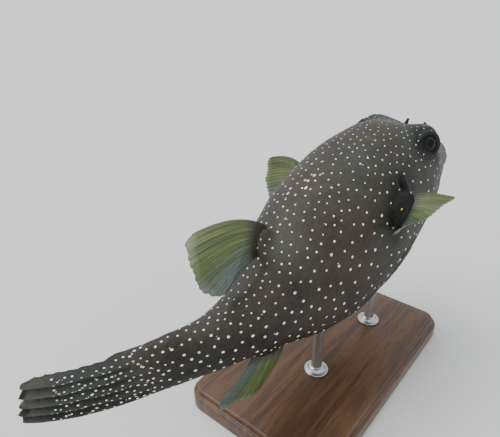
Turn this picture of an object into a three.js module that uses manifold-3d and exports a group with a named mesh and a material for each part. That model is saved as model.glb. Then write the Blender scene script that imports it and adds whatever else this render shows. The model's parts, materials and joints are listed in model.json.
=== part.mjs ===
// Guineafowl puffer, a round spotted reef fish, as a life-size museum model on a plain display stand.
// Millimetres, +Z up. The origin is the centre of the stand's underside, and the trunk points along +X.
// The fish swims nose up and banked to its left, with its tail swung round to the left.
//
// The body is one loft along a bent spine, cut into head, trunk and tail stalk. A place on it is a station,
// the fraction of BODY_LENGTH behind the snout, and an angle round the section: 0 left, 90 back, -90 belly.

import * as THREE from "three";
import { mergeVertices } from "three/addons/utils/BufferGeometryUtils.js";
import Module from "manifold-3d";

const wasm = await Module();
wasm.setup();

// Driving dimensions.
const BODY_LENGTH = 290; // snout to the root of the tail fin
const GAP = 0.3; // left between pieces that touch
const PITCH = 14.2; // degrees, nose up
const BANK = -8.4; // degrees, left side down
const TRUNK_HEIGHT = 128; // of the spine's line over the floor, above the middle of the stand
const BALANCE_STATION = 0.48; // the station above the middle of the stand

// The bend of the spine, in radians.
const HEAD_YAW = 0.2; // the snout's turn to the right
const HEAD_YAW_END = 0.6; // station from which the trunk is straight
const TAIL_YAW = 0.52; // the tail's swing to the left
const TAIL_YAW_START = 0.69;
const TAIL_YAW_END = 1.04;
const TAIL_FIN_CURL = 1.7; // further swing for each unit of station past TAIL_YAW_END
const TAIL_LIFT = 0.08;
const HEAD_TILT = 0.125; // the roll of the head, left side up
const HEAD_TILT_START = 0.14; // station up to which the head has all of its tilt
const HEAD_TILT_END = 0.36;

// Where the body is cut into its lengths.
const HEAD_END = 0.365;
const TRUNK_END = 0.865;
const STALK_END = 1.04;
const FISH_END = 1.3;
const TAIL_FIN_MIDDLE_END = 1.272;
const TAIL_FIN_SLANT = 0.45; // how much longer its lower rays are, for each unit of height

// Heights and half widths of the section, as fractions of BODY_LENGTH, from the line through its middle.
const BACK = curve([
  [0, 0.033],
  [0.06, 0.07],
  [0.12, 0.129],
  [0.2, 0.151],
  [0.3, 0.1765],
  [0.42, 0.1826],
  [0.55, 0.172],
  [0.65, 0.15],
  [0.72, 0.12],
  [0.77, 0.088],
  [0.82, 0.068],
  [0.9, 0.057],
  [1, 0.053],
  [1.13, 0.0625],
  [FISH_END, 0.066],
]);
const BELLY = curve([
  [0, 0.03],
  [0.06, 0.081],
  [0.12, 0.119],
  [0.2, 0.157],
  [0.3, 0.19],
  [0.42, 0.2136],
  [0.55, 0.209],
  [0.65, 0.18],
  [0.72, 0.147],
  [0.8, 0.0975],
  [0.9, 0.0635],
  [1, 0.0545],
  [FISH_END, 0.058],
]);
const HALF_WIDTH = curve([
  [0, 0.032],
  [0.06, 0.063],
  [0.12, 0.0886],
  [0.2, 0.12],
  [0.3, 0.1363],
  [0.42, 0.1448],
  [0.55, 0.1346],
  [0.65, 0.1124],
  [0.8, 0.0687],
  [0.9, 0.0455],
  [1, 0.028],
  [1.08, 0.0123],
  [FISH_END, 0.0053],
]);
const SNOUT_DROP = 0.06; // of the mouth below the line of the spine
const SNOUT_DROP_END = 0.22;
const SQUARENESS = 0.9; // power of the section's sine and cosine, 1 is an ellipse
const NOSE_ROUND = 0.02; // stations over which the snout closes

// The eyes, the mouth and the gill openings.
const EYE_STATION = 0.217;
const EYE_ANGLE = 40;
const EYE_RADIUS = 8.5;
const EYE_PROUD = 3.2; // how far the ball stands out of the skin
const LID_THICKNESS = 1.6;
const LID_OPENING = 6.6; // radius
const BEAK_DEPTH = 9;
const BEAK_HALF_WIDTH = 6.2;
const BEAK_HALF_HEIGHT = 4.2;
const BEAK_PROUD = 1.4; // how far it shows in front of the lips
const BITE = 1.4; // between the upper and the lower beak
const SUTURE = 0.7; // width of the seam down the middle of each beak
const GILL = { station: 0.388, angle: 24, size: [4.5, 6.5, 7.5] }; // half sizes along, up and in
const NOSTRIL = { station: 0.12, angle: 69, height: 5.5, fork: 0.4, lean: 0.45 };

// The fins but the tail fin. A root runs over the skin from one station and angle to another. Lead and trail
// are the way its first and last rays point: back, to the left and up. Lengths are the first, middle and last
// ray's, bend is how far the tips trail, and lobe is the share in the fleshy foot, which is foot thick.
const FINS = {
  dorsal_fin: {
    root: [0.691, 90, 0.745, 90],
    lead: [0.085, 0, 0.148],
    trail: [0.405, -0.195, 0.382],
    lengths: [0.2, 0.2, 0.085],
    bend: [0.05, 0.047, -0.085],
    lobe: 0.2,
    foot: 7,
  },
  anal_fin: {
    root: [0.745, -90, 0.825, -90],
    lead: [0.48, -0.01, -0.91],
    trail: [0.77, -0.27, -0.41],
    lengths: [0.089, 0.095, 0.097],
    bend: [0.057, 0.024, -0.008],
    lobe: 0.3,
    foot: 8,
  },
  pectoral_fin_right: {
    root: [0.405, 157, 0.455, 180],
    lead: [-0.47, -1.11, -0.15],
    trail: [0.5, -0.54, 0.44],
    lengths: [0.157, 0.115, 0.107],
    bend: [0.015, 0.035, -0.005],
    lobe: 0.3,
    foot: 12,
  },
  pectoral_fin_left: {
    root: [0.405, 23, 0.455, 0],
    lead: [-0.56, 0.56, 0.31],
    trail: [-0.28, 0.2, 0.1],
    lengths: [0.165, 0.14, 0.1],
    bend: [0.075, 0.05, -0.053],
    lobe: 0.3,
    foot: 12,
  },
};
const FOOT_TIP = 3.6; // thickness where a fleshy foot ends
const FIN_ROOT_THICKNESS = 2.6;
const FIN_TIP_THICKNESS = 1.2;

// The stand.
const BASE_LENGTH = 200;
const BASE_WIDTH = 116;
const BASE_THICKNESS = 16;
const BASE_CORNER = 14;
const BASE_EDGE = 2.5; // bevel
const ROD_RADIUS = 4;
const ROD_INTO_BODY = 14;
const ROD_INTO_BASE = 9;
const RODS = { stand_rod_front: 0.34, stand_rod_rear: 0.62 }; // the station each one holds

const degrees = THREE.MathUtils.degToRad;

// A smooth curve through points, with no bulge of its own between them.
function curve(points) {
  const rise = (i) => (points[i + 1][1] - points[i][1]) / (points[i + 1][0] - points[i][0]);
  const last = points.length - 1;
  const slope = points.map((_, i) => {
    if (i === 0) return rise(0);
    if (i === last) return rise(last - 1);
    const before = rise(i - 1);
    const after = rise(i);
    return before * after > 0 ? (2 * before * after) / (before + after) : 0;
  });
  return (x) => {
    const i = Math.max(0, Math.min(last - 1, points.findLastIndex(([start]) => start <= x)));
    const span = points[i + 1][0] - points[i][0];
    const t = THREE.MathUtils.clamp((x - points[i][0]) / span, 0, 1);
    const stay = (1 + 2 * t) * (1 - t) ** 2 * points[i][1] + t * t * (3 - 2 * t) * points[i + 1][1];
    return stay + span * (t * (1 - t) ** 2 * slope[i] + t * t * (t - 1) * slope[i + 1]);
  };
}

// The spine's yaw at a station.
function yawAt(station) {
  const head = HEAD_YAW * (1 - Math.min(1, station / HEAD_YAW_END));
  const tail = TAIL_YAW * THREE.MathUtils.smoothstep(station, TAIL_YAW_START, TAIL_YAW_END);
  return head + tail + TAIL_FIN_CURL * Math.max(0, station - TAIL_YAW_END);
}

// The section's own axes at a station: back along the spine, to the fish's left, and up.
function axesAt(station) {
  const yaw = yawAt(station);
  const lift = TAIL_LIFT * THREE.MathUtils.smoothstep(station, TAIL_YAW_START, TAIL_YAW_END);
  const flat = Math.cos(lift);
  const back = new THREE.Vector3(-Math.cos(yaw) * flat, Math.sin(yaw) * flat, Math.sin(lift));
  const tilt = HEAD_TILT * (1 - THREE.MathUtils.smoothstep(station, HEAD_TILT_START, HEAD_TILT_END));
  const left = new THREE.Vector3(Math.sin(yaw), Math.cos(yaw), 0).applyAxisAngle(back, -tilt);
  return { back, left, up: new THREE.Vector3().crossVectors(left, back) };
}

// A direction given as back, to the left and up, at a station.
function towards(station, [back, left, up]) {
  const axes = axesAt(station);
  const way = axes.back.multiplyScalar(back).addScaledVector(axes.left, left);
  return way.addScaledVector(axes.up, up);
}

const SPINE_STEPS = 300;
const spine = [new THREE.Vector3()];
for (let i = 0; i < SPINE_STEPS; i += 1) {
  const step = FISH_END / SPINE_STEPS;
  spine.push(spine[i].clone().addScaledVector(axesAt((i + 0.5) * step).back, step * BODY_LENGTH));
}

// The place at a station, so far to the left of the spine's line and above it.
function atStation(station, left, up) {
  const along = THREE.MathUtils.clamp((station / FISH_END) * SPINE_STEPS, 0, SPINE_STEPS - 1e-6);
  const i = Math.floor(along);
  const middle = spine[i].clone().lerp(spine[i + 1], along - i);
  return middle.add(towards(station, [0, left, up]));
}

// Swellings and hollows of the head, alike on both sides: their station and angle round the section, how far
// they spread along and round the body, and how far they stand out.
const HEAD_FORMS = [
  { station: 0.182, angle: 50, along: 0.038, around: 17, height: 6.8 }, // brow over the eye
  { station: 0.15, angle: 90, along: 0.06, around: 22, height: -7.3 }, // flat between the brows
  { station: 0.105, angle: 70, along: 0.045, around: 40, height: -4.3 }, // dip of the snout before the brows
  { station: 0.085, angle: 90, along: 0.03, around: 40, height: -4.5 }, // hollow behind the muzzle
  { station: 0.014, angle: 60, along: 0.014, around: 60, height: 1.6 }, // upper lip
  { station: 0.014, angle: -60, along: 0.014, around: 60, height: 1.6 }, // lower lip
  { station: 0.055, angle: -60, along: 0.03, around: 50, height: -2 }, // groove under the lip
  { station: 0.257, angle: 0, along: 0.05, around: 24, height: 1.5 }, // cheek
];

function headForm(station, angle) {
  let height = 0;
  for (const form of HEAD_FORMS) {
    const along = (station - form.station) / form.along;
    const around = [form.angle, 180 - form.angle].map((middle) => {
      const apart = Math.abs(((angle - middle + 540) % 360) - 180);
      return Math.exp(-((apart / form.around) ** 2));
    });
    height += form.height * Math.exp(-along * along) * Math.max(...around);
  }
  return height;
}

// Height of the section's middle over the line of the spine, which drops towards the mouth.
function middleAt(station) {
  return -SNOUT_DROP * (1 - Math.min(1, station / SNOUT_DROP_END)) ** 2 * BODY_LENGTH;
}

// The fish's skin at a station and an angle round the section, or a little outside it.
function skinAt(station, angle, grow = 0) {
  const side = Math.cos(degrees(angle));
  const rise = Math.sin(degrees(angle));
  const closing = Math.sqrt(1 - (1 - Math.min(1, station / NOSE_ROUND)) ** 2);
  const half = (rise > 0 ? BACK(station) : BELLY(station)) * BODY_LENGTH * closing;
  const left = Math.sign(side) * Math.abs(side) ** SQUARENESS * HALF_WIDTH(station) * BODY_LENGTH * closing;
  const up = Math.sign(rise) * Math.abs(rise) ** SQUARENESS * half;
  const out = headForm(station, angle) * closing + grow;
  return atStation(station, left + out * side, middleAt(station) + up + out * rise);
}

// Rings of points as a closed tube, with a point to close each end.
function loft(rings, first, last) {
  const size = rings[0].length;
  const points = [...rings.flat(), first, last];
  const triangles = [];
  for (let i = 0; i < rings.length; i += 1) {
    for (let j = 0; j < size; j += 1) {
      const here = i * size + j;
      const next = i * size + ((j + 1) % size);
      if (i === 0) triangles.push(points.length - 2, here, next);
      if (i === rings.length - 1) triangles.push(points.length - 1, next, here);
      else triangles.push(here, here + size, next, next, here + size, next + size);
    }
  }
  const geometry = new THREE.BufferGeometry().setFromPoints(points);
  geometry.setIndex(triangles);
  return geometry;
}

// A geometry as a solid that can be joined and cut, turned the right way out.
function solid(geometry) {
  const bare = geometry.index ? geometry.toNonIndexed() : geometry.clone();
  bare.deleteAttribute("normal");
  bare.deleteAttribute("uv");
  const merged = mergeVertices(bare, 1e-4);
  const triVerts = new Uint32Array(merged.index.array);
  const vertProperties = merged.attributes.position.array;
  const made = new wasm.Manifold(new wasm.Mesh({ numProp: 3, vertProperties, triVerts }));
  if (made.volume() > 0) return made;
  return new wasm.Manifold(new wasm.Mesh({ numProp: 3, vertProperties, triVerts: triVerts.reverse() }));
}

// The whole fish without its side, back and belly fins, grown outwards by so much.
const BODY_RINGS = 41;
const RING_POINTS = 32;

function bodySolid(grow = 0) {
  const rings = [];
  for (let i = 1; i <= BODY_RINGS; i += 1) {
    const share = i / BODY_RINGS;
    const station = FISH_END * share * (0.4 + 0.6 * share ** 0.7);
    const ring = [];
    for (let j = 0; j < RING_POINTS; j += 1) ring.push(skinAt(station, (360 * j) / RING_POINTS, grow));
    rings.push(ring);
  }
  const nose = atStation(0, 0, middleAt(0)).add(towards(0, [-grow, 0, 0]));
  const tip = atStation(FISH_END, 0, 0).add(towards(FISH_END, [grow, 0, 0]));
  return solid(loft(rings, nose, tip));
}

// The part of a shape before or behind a station, half a gap short of it.
function before(shape, station) {
  const forward = towards(station, [-1, 0, 0]);
  return shape.trimByPlane(forward.toArray(), forward.dot(atStation(station, 0, 0)) + GAP / 2);
}

function behind(shape, station) {
  const back = towards(station, [1, 0, 0]);
  return shape.trimByPlane(back.toArray(), back.dot(atStation(station, 0, 0)) + GAP / 2);
}

// An ellipsoid at a place, its half sizes along the back, left and up of a station.
function ellipsoid(station, centre, [back, left, up], segments = 16) {
  const axes = axesAt(station);
  const frame = new THREE.Matrix4().makeBasis(axes.back, axes.left, axes.up);
  const geometry = new THREE.SphereGeometry(1, segments, segments / 2);
  geometry.scale(back, left, up);
  geometry.applyMatrix4(frame);
  geometry.translate(centre.x, centre.y, centre.z);
  return solid(geometry);
}

const NEARBY = 0.01; // a short step of a station, or of a fin's u and v, for measuring a direction

// The way out of the skin at a station and angle.
function outAt(station, angle) {
  const along = skinAt(station + NEARBY, angle).sub(skinAt(station - NEARBY, angle));
  const around = skinAt(station, angle + 4).sub(skinAt(station, angle - 4));
  return along.cross(around).normalize();
}

// A fin as a plate: u runs from its first ray to its last and v from its root to its tips.
function finAt(fin, u, v) {
  const [station0, angle0, station1, angle1] = fin.root;
  const station = THREE.MathUtils.lerp(station0, station1, u);
  const foot = skinAt(station, THREE.MathUtils.lerp(angle0, angle1, u));
  const way = fin.lead.map((lead, i) => THREE.MathUtils.lerp(lead, fin.trail[i], u));
  const [first, middle, last] = fin.lengths;
  const length = first * (1 - u) * (1 - 2 * u) + middle * 4 * u * (1 - u) + last * u * (2 * u - 1);
  const ray = towards(station, way).normalize().multiplyScalar(length * v);
  const bend = towards(station, fin.bend).multiplyScalar(v * v);
  return foot.addScaledVector(ray.add(bend), BODY_LENGTH);
}

const SHORTEST_RAY = 20; // so that a plate grown by a gap spreads a little past it

// A closed plate over part of a fin, with a thickness at its inner and its outer end.
function finPlate(fin, [from, to], [inner, outer], across, along, grow = 0) {
  const spread = grow / SHORTEST_RAY;
  const rings = [];
  for (let i = 0; i <= along; i += 1) {
    const v = THREE.MathUtils.lerp(from - spread, to + spread, i / along);
    const half = THREE.MathUtils.lerp(inner, outer, i / along) / 2 + grow;
    const front = [];
    const rear = [];
    for (let j = 0; j <= across; j += 1) {
      const u = THREE.MathUtils.lerp(-spread, 1 + spread, j / across);
      const acrossWay = finAt(fin, u + NEARBY, v).sub(finAt(fin, u - NEARBY, v));
      const alongWay = finAt(fin, u, v + NEARBY).sub(finAt(fin, u, v - NEARBY));
      const out = acrossWay.cross(alongWay).normalize();
      const round = Math.sqrt(1 - 0.75 * (2 * Math.abs(j / across - 0.5)) ** 4);
      front.push(finAt(fin, u, v).addScaledVector(out, half * round));
      rear.unshift(finAt(fin, u, v).addScaledVector(out, -half * round));
    }
    rings.push([...front, ...rear]);
  }
  return solid(loft(rings, finAt(fin, 0.5, from - spread), finAt(fin, 0.5, to + spread)));
}

const mesh = (name, shape, color, roughness, metalness = 0) => {
  const flat = shape.getMesh();
  const geometry = new THREE.BufferGeometry();
  geometry.setAttribute("position", new THREE.BufferAttribute(new Float32Array(flat.vertProperties), 3));
  geometry.setIndex(new THREE.BufferAttribute(new Uint32Array(flat.triVerts), 1));
  geometry.computeVertexNormals();
  const made = new THREE.Mesh(geometry, new THREE.MeshStandardMaterial({ color, roughness, metalness }));
  made.name = name;
  return made;
};

// A round bar along a line between two places.
function bar(from, to, radiusFrom, radiusTo, sides) {
  const way = to.clone().sub(from);
  const geometry = new THREE.CylinderGeometry(radiusTo, radiusFrom, way.length(), sides);
  const turn = new THREE.Quaternion();
  turn.setFromUnitVectors(THREE.Object3D.DEFAULT_UP, way.clone().normalize());
  geometry.applyQuaternion(turn);
  geometry.translate(...from.clone().add(to).multiplyScalar(0.5).toArray());
  return solid(geometry);
}

// Each side's name, and the angle round the section that mirrors a left one.
const SIDES = { left: (angle) => angle, right: (angle) => 180 - angle };

// The fish lies along its own axes, and this turns it nose up and banked, with its trunk over the stand.
const fish = new THREE.Group();
fish.rotation.set(degrees(BANK), -degrees(PITCH), 0, "YXZ");
fish.position.z = TRUNK_HEIGHT;
fish.updateMatrix();
fish.position.sub(atStation(BALANCE_STATION, 0, 0).applyEuler(fish.rotation));
fish.updateMatrixWorld();

// The rods: upright under the belly, from a socket in the base to a socket in the flesh.
const rods = Object.entries(RODS).map(([name, station]) => {
  const belly = skinAt(station, -90).applyMatrix4(fish.matrixWorld);
  const foot = belly.clone().setZ(BASE_THICKNESS - ROD_INTO_BASE);
  return { name, foot, head: belly.clone().setZ(belly.z + ROD_INTO_BODY) };
});

function rodSolid({ foot, head }, grow) {
  const lift = new THREE.Vector3(0, 0, grow);
  return bar(foot.clone().sub(lift), head.clone().add(lift), ROD_RADIUS + grow, ROD_RADIUS + grow, 16);
}

// The eyes: a ball in a socket, held by a thick lid with a round opening.
const eyes = Object.entries(SIDES).map(([side, mirrored]) => {
  const out = outAt(EYE_STATION, mirrored(EYE_ANGLE));
  const centre = skinAt(EYE_STATION, mirrored(EYE_ANGLE)).addScaledVector(out, EYE_PROUD - EYE_RADIUS);
  return { side, out, centre };
});

function eyeball(centre, radius) {
  return ellipsoid(EYE_STATION, centre, [radius, radius, radius], 16);
}

// The mouth: an upper and a lower beak, each with a seam down its middle.
const mouth = atStation(0, 0, middleAt(0)).add(towards(0, [BEAK_DEPTH - BEAK_PROUD, 0, 0]));

function beakSolid(grow) {
  return ellipsoid(0, mouth, [BEAK_DEPTH + grow, BEAK_HALF_WIDTH + grow, BEAK_HALF_HEIGHT + grow], 16);
}

function beakHalf(rise) {
  const keep = towards(0, [0, 0, rise]);
  const half = beakSolid(0).trimByPlane(keep.toArray(), keep.dot(mouth) + BITE / 2);
  const lips = mouth.clone().add(towards(0, [-BEAK_DEPTH, 0, 0]));
  return half.subtract(ellipsoid(0, lips, [SUTURE, SUTURE / 2, BEAK_HALF_HEIGHT * 2], 8));
}

// The flesh: the body with its lids and the fins' fleshy feet, hollowed for all that sits in it.
const clear = bodySolid(GAP);
const footSolid = (fin, grow) => finPlate(fin, [-0.1, fin.lobe], [fin.foot, FOOT_TIP], 8, 3, grow);
let flesh = bodySolid();
for (const { centre } of eyes) flesh = flesh.add(eyeball(centre, EYE_RADIUS + GAP + LID_THICKNESS));
for (const { centre, out } of eyes) {
  const open = centre.clone().addScaledVector(out, 2 * EYE_RADIUS);
  flesh = flesh.subtract(eyeball(centre, EYE_RADIUS + GAP));
  flesh = flesh.subtract(bar(centre, open, LID_OPENING, LID_OPENING, 16));
}
for (const mirrored of Object.values(SIDES)) {
  flesh = flesh.subtract(ellipsoid(GILL.station, skinAt(GILL.station, mirrored(GILL.angle)), GILL.size));
}
for (const fin of Object.values(FINS)) flesh = flesh.add(footSolid(fin, 0));
flesh = flesh.subtract(beakSolid(GAP));
const toFish = fish.matrixWorld.clone().invert();
for (const rod of rods) flesh = flesh.subtract(rodSolid(rod, GAP).transform(toFish.elements));

const FLESH = "#3d3432";
const FIN = "#6f7650";
fish.add(mesh("head", before(flesh, HEAD_END), FLESH, 0.5));
fish.add(mesh("trunk", before(behind(flesh, HEAD_END), TRUNK_END), FLESH, 0.5));
fish.add(mesh("tail_stalk", before(behind(flesh, TRUNK_END), STALK_END), FLESH, 0.5));
const slant = towards(TAIL_FIN_MIDDLE_END, [-1, 0, -TAIL_FIN_SLANT]).normalize();
const tailEnd = slant.dot(atStation(TAIL_FIN_MIDDLE_END, 0, 0));
fish.add(mesh("tail_fin", behind(flesh, STALK_END).trimByPlane(slant.toArray(), tailEnd), "#2b2b30", 0.5));

for (const [name, fin] of Object.entries(FINS)) {
  const plate = finPlate(fin, [fin.lobe - 0.05, 1], [FIN_ROOT_THICKNESS, FIN_TIP_THICKNESS], 12, 6);
  fish.add(mesh(name, plate.subtract(clear).subtract(footSolid(fin, GAP)), FIN, 0.4));
}
for (const { side, centre } of eyes) {
  fish.add(mesh(`eye_${side}`, eyeball(centre, EYE_RADIUS), "#1c1a18", 0.15));
}

// A nostril's flap: a short stalk that forks in two.
for (const [side, mirrored] of Object.entries(SIDES)) {
  const foot = skinAt(NOSTRIL.station, mirrored(NOSTRIL.angle));
  const out = outAt(NOSTRIL.station, mirrored(NOSTRIL.angle));
  const fork = foot.clone().addScaledVector(out, NOSTRIL.height * NOSTRIL.fork);
  let flap = bar(foot.clone().addScaledVector(out, -1), fork, 1.9, 1.5, 8);
  for (const lean of [-NOSTRIL.lean, NOSTRIL.lean]) {
    const way = out.clone().add(towards(NOSTRIL.station, [lean, 0, 0])).normalize();
    const tip = fork.clone().addScaledVector(way, NOSTRIL.height * (1 - NOSTRIL.fork));
    flap = flap.add(bar(fork.clone().addScaledVector(way, -0.6), tip, 1.3, 0.7, 6));
  }
  fish.add(mesh(`nasal_tentacle_${side}`, flap.subtract(clear), FLESH, 0.5));
}
fish.add(mesh("beak_upper", beakHalf(1), "#d8cfb8", 0.3));
fish.add(mesh("beak_lower", beakHalf(-1), "#d8cfb8", 0.3));

// The base: a flat plate with round corners and a bevelled edge, drilled for the rods.
const outline = new THREE.Shape();
const [halfLength, halfWidth] = [BASE_LENGTH / 2 - BASE_EDGE, BASE_WIDTH / 2 - BASE_EDGE];
for (const [x, y, from] of [[1, 1, 0], [-1, 1, 90], [-1, -1, 180], [1, -1, 270]]) {
  const corner = [x * (halfLength - BASE_CORNER), y * (halfWidth - BASE_CORNER)];
  outline.absarc(...corner, BASE_CORNER, degrees(from), degrees(from + 90), false);
}
const board = new THREE.ExtrudeGeometry(outline, {
  depth: BASE_THICKNESS - 2 * BASE_EDGE,
  bevelThickness: BASE_EDGE,
  bevelSize: BASE_EDGE,
  bevelSegments: 1,
  curveSegments: 6,
});
board.translate(0, 0, BASE_EDGE);
const base = rods.reduce((drilled, rod) => drilled.subtract(rodSolid(rod, GAP)), solid(board));

const part = new THREE.Group();
part.add(mesh("stand_base", base, "#26211e", 0.4));
for (const rod of rods) part.add(mesh(rod.name, rodSolid(rod, 0), "#b9bcc0", 0.3, 1));
part.add(fish);

export default part;
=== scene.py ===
# %% [markdown]
# # A guineafowl puffer on a display stand
# A life-size museum model of a round reef fish: dark brown, covered with small white spots, swimming nose up
# with its tail bent to its left. The imported construction fixes every size and place. The body's lines are
# repeated here from the construction, and the base's size and the rods' places are read from the frame. This
# script makes the skin, the fins, the eyes, the mouth and the stand that are seen. Lengths are metres unless
# a name or a comment says millimetres. First the fixed frame is loaded, and its box is kept.

# %% Load the fixed frame
import json
import math

import bmesh
import bpy
import numpy as np
from mathutils import Matrix, Vector, kdtree, noise

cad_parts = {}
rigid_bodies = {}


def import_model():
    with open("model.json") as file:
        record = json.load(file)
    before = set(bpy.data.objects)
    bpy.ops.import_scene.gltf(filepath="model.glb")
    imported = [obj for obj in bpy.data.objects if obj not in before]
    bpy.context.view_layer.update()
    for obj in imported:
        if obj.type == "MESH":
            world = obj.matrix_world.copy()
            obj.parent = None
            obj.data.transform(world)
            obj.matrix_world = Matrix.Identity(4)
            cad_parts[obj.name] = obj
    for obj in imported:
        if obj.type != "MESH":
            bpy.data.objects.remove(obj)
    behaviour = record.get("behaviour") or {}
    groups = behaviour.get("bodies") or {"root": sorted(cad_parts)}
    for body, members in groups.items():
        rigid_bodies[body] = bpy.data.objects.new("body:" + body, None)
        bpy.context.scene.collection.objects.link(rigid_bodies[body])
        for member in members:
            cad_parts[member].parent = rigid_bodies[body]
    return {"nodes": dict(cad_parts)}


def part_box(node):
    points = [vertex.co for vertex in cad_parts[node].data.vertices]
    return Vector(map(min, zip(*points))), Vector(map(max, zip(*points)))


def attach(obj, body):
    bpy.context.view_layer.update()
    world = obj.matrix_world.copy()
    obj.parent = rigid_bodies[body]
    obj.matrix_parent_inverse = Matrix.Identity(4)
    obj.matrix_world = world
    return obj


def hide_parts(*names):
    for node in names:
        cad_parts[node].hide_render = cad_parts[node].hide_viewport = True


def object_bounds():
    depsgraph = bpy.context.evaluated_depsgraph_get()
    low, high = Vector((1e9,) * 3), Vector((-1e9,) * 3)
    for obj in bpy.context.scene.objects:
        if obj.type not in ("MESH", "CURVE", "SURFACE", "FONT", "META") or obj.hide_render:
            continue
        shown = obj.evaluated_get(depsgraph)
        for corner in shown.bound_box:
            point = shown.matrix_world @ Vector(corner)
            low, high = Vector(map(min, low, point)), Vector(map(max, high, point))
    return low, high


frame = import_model()
cad_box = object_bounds()
MM = 0.001
cad_sides = cad_box[1] - cad_box[0]
print("construction:", len(frame["nodes"]), "nodes, box", [round(side, 3) for side in cad_sides])

# %% [markdown]
# ## Camera
# The fish is seen from behind, from its right and from above, from close by, so that the tail comes towards
# the eye and the head turns away. A camera needs a place, a direction and a lens: it looks down by 27
# degrees and its horizon is level.

# %% Camera
CAMERA_PLACE = (-0.2653, -0.1383, 0.2811)
CAMERA_HEADING = math.radians(39.3)  # from +X towards +Y
CAMERA_DOWN = math.radians(26.9)
CAMERA_LENS = 33.9  # on a sensor 36 mm wide

bpy.ops.object.camera_add(location=CAMERA_PLACE)
camera = bpy.context.object
camera.name = "camera"
camera.rotation_euler = (math.pi / 2 - CAMERA_DOWN, 0, CAMERA_HEADING - math.pi / 2)
camera.data.lens = CAMERA_LENS
camera.data.clip_start = 0.01
bpy.context.scene.camera = camera
print("camera at", CAMERA_PLACE)

# %% [markdown]
# ## The lines of the fish
# A place on the body is a station, the fraction of the body's length behind the snout, and an angle round
# the section: 0 is its left, 90 its back and -90 its belly. These are the same driving curves as the
# construction's, so that the fine surfaces made here lie where its plain solids do. The spine bends: the
# head looks a little to the right and the tail swings to the left. The numbers of the lines, of the head's
# forms and of the fins were for the most part found by fitting programs and then rounded, not set by hand.

# %% Driving dimensions of the fish
BODY = 0.290  # snout to the root of the tail fin
PITCH = math.radians(14.2)  # nose up
BANK = math.radians(-8.4)  # left side down
TRUNK_HEIGHT = 0.128
BALANCE_STATION = 0.48  # the station over the middle of the stand
HEAD_YAW, HEAD_YAW_END = 0.2, 0.6
TAIL_YAW, TAIL_YAW_START, TAIL_YAW_END = 0.52, 0.69, 1.04
TAIL_FIN_CURL = 1.7
TAIL_LIFT = 0.08
HEAD_TILT, HEAD_TILT_START, HEAD_TILT_END = 0.125, 0.14, 0.36
FISH_END = 1.3
TAIL_FIN_MIDDLE_END, TAIL_FIN_SLANT = 1.272, 0.45
SNOUT_DROP, SNOUT_DROP_END = 0.06, 0.22
SQUARENESS = 0.9
NOSE_ROUND = 0.02
BACK_LINE = [(0, 0.033), (0.06, 0.07), (0.12, 0.129), (0.2, 0.151), (0.3, 0.1765), (0.42, 0.1826),
             (0.55, 0.172), (0.65, 0.15), (0.72, 0.12), (0.77, 0.088), (0.82, 0.068), (0.9, 0.057),
             (1, 0.053), (1.13, 0.0625), (1.3, 0.066)]
BELLY_LINE = [(0, 0.03), (0.06, 0.081), (0.12, 0.119), (0.2, 0.157), (0.3, 0.19), (0.42, 0.2136),
              (0.55, 0.209), (0.65, 0.18), (0.72, 0.147), (0.8, 0.0975), (0.9, 0.0635), (1, 0.0545),
              (1.3, 0.058)]
HALF_WIDTH_LINE = [(0, 0.032), (0.06, 0.063), (0.12, 0.0886), (0.2, 0.12), (0.3, 0.1363), (0.42, 0.1448),
                   (0.55, 0.1346), (0.65, 0.1124), (0.8, 0.0687), (0.9, 0.0455), (1, 0.028),
                   (1.08, 0.0123), (1.3, 0.0053)]
# Swellings and hollows of the head: station, angle, spread along and round the body, height in mm.
HEAD_FORMS = [
    (0.182, 50, 0.038, 17, 6.8),  # brow over the eye
    (0.15, 90, 0.06, 22, -7.3),  # flat between the brows
    (0.105, 70, 0.045, 40, -4.3),  # dip of the snout before the brows
    (0.085, 90, 0.03, 40, -4.5),  # hollow behind the muzzle
    (0.014, 60, 0.014, 60, 1.6),  # upper lip
    (0.014, -60, 0.014, 60, 1.6),  # lower lip
    (0.055, -60, 0.03, 50, -2),  # groove under the lip
    (0.257, 0, 0.05, 24, 1.5),  # cheek
]
print("body", BODY, "m long, nose up by", round(math.degrees(PITCH), 1), "degrees")


# %% Curves through the driving points
def smooth(x, start, end):
    """0 before start, 1 after end, and a soft step between them."""
    t = np.clip((x - start) / (end - start), 0, 1)
    return t * t * (3 - 2 * t)


def curve(points):
    """A smooth curve through points, with no bulge of its own between them."""
    xs, ys = np.array(points, float).T
    rise = np.diff(ys) / np.diff(xs)
    total = rise[:-1] + rise[1:]
    inner = np.where(rise[:-1] * rise[1:] > 0, 2 * rise[:-1] * rise[1:] / np.where(total == 0, 1, total), 0)
    slope = np.concatenate((rise[:1], inner, rise[-1:]))

    def at(x):
        x = np.clip(x, xs[0], xs[-1])
        i = np.clip(np.searchsorted(xs, x, side="right") - 1, 0, len(xs) - 2)
        span = xs[i + 1] - xs[i]
        t = (x - xs[i]) / span
        stay = (1 + 2 * t) * (1 - t) ** 2 * ys[i] + t * t * (3 - 2 * t) * ys[i + 1]
        return stay + span * (t * (1 - t) ** 2 * slope[i] + t * t * (t - 1) * slope[i + 1])

    return at


back_line, belly_line, half_width_line = curve(BACK_LINE), curve(BELLY_LINE), curve(HALF_WIDTH_LINE)
print("widest at station 0.42:", round(2 * float(half_width_line(0.42)) * BODY / MM), "mm")


# %% The bent spine
def unit(vectors):
    return vectors / np.linalg.norm(vectors, axis=-1, keepdims=True)


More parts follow.
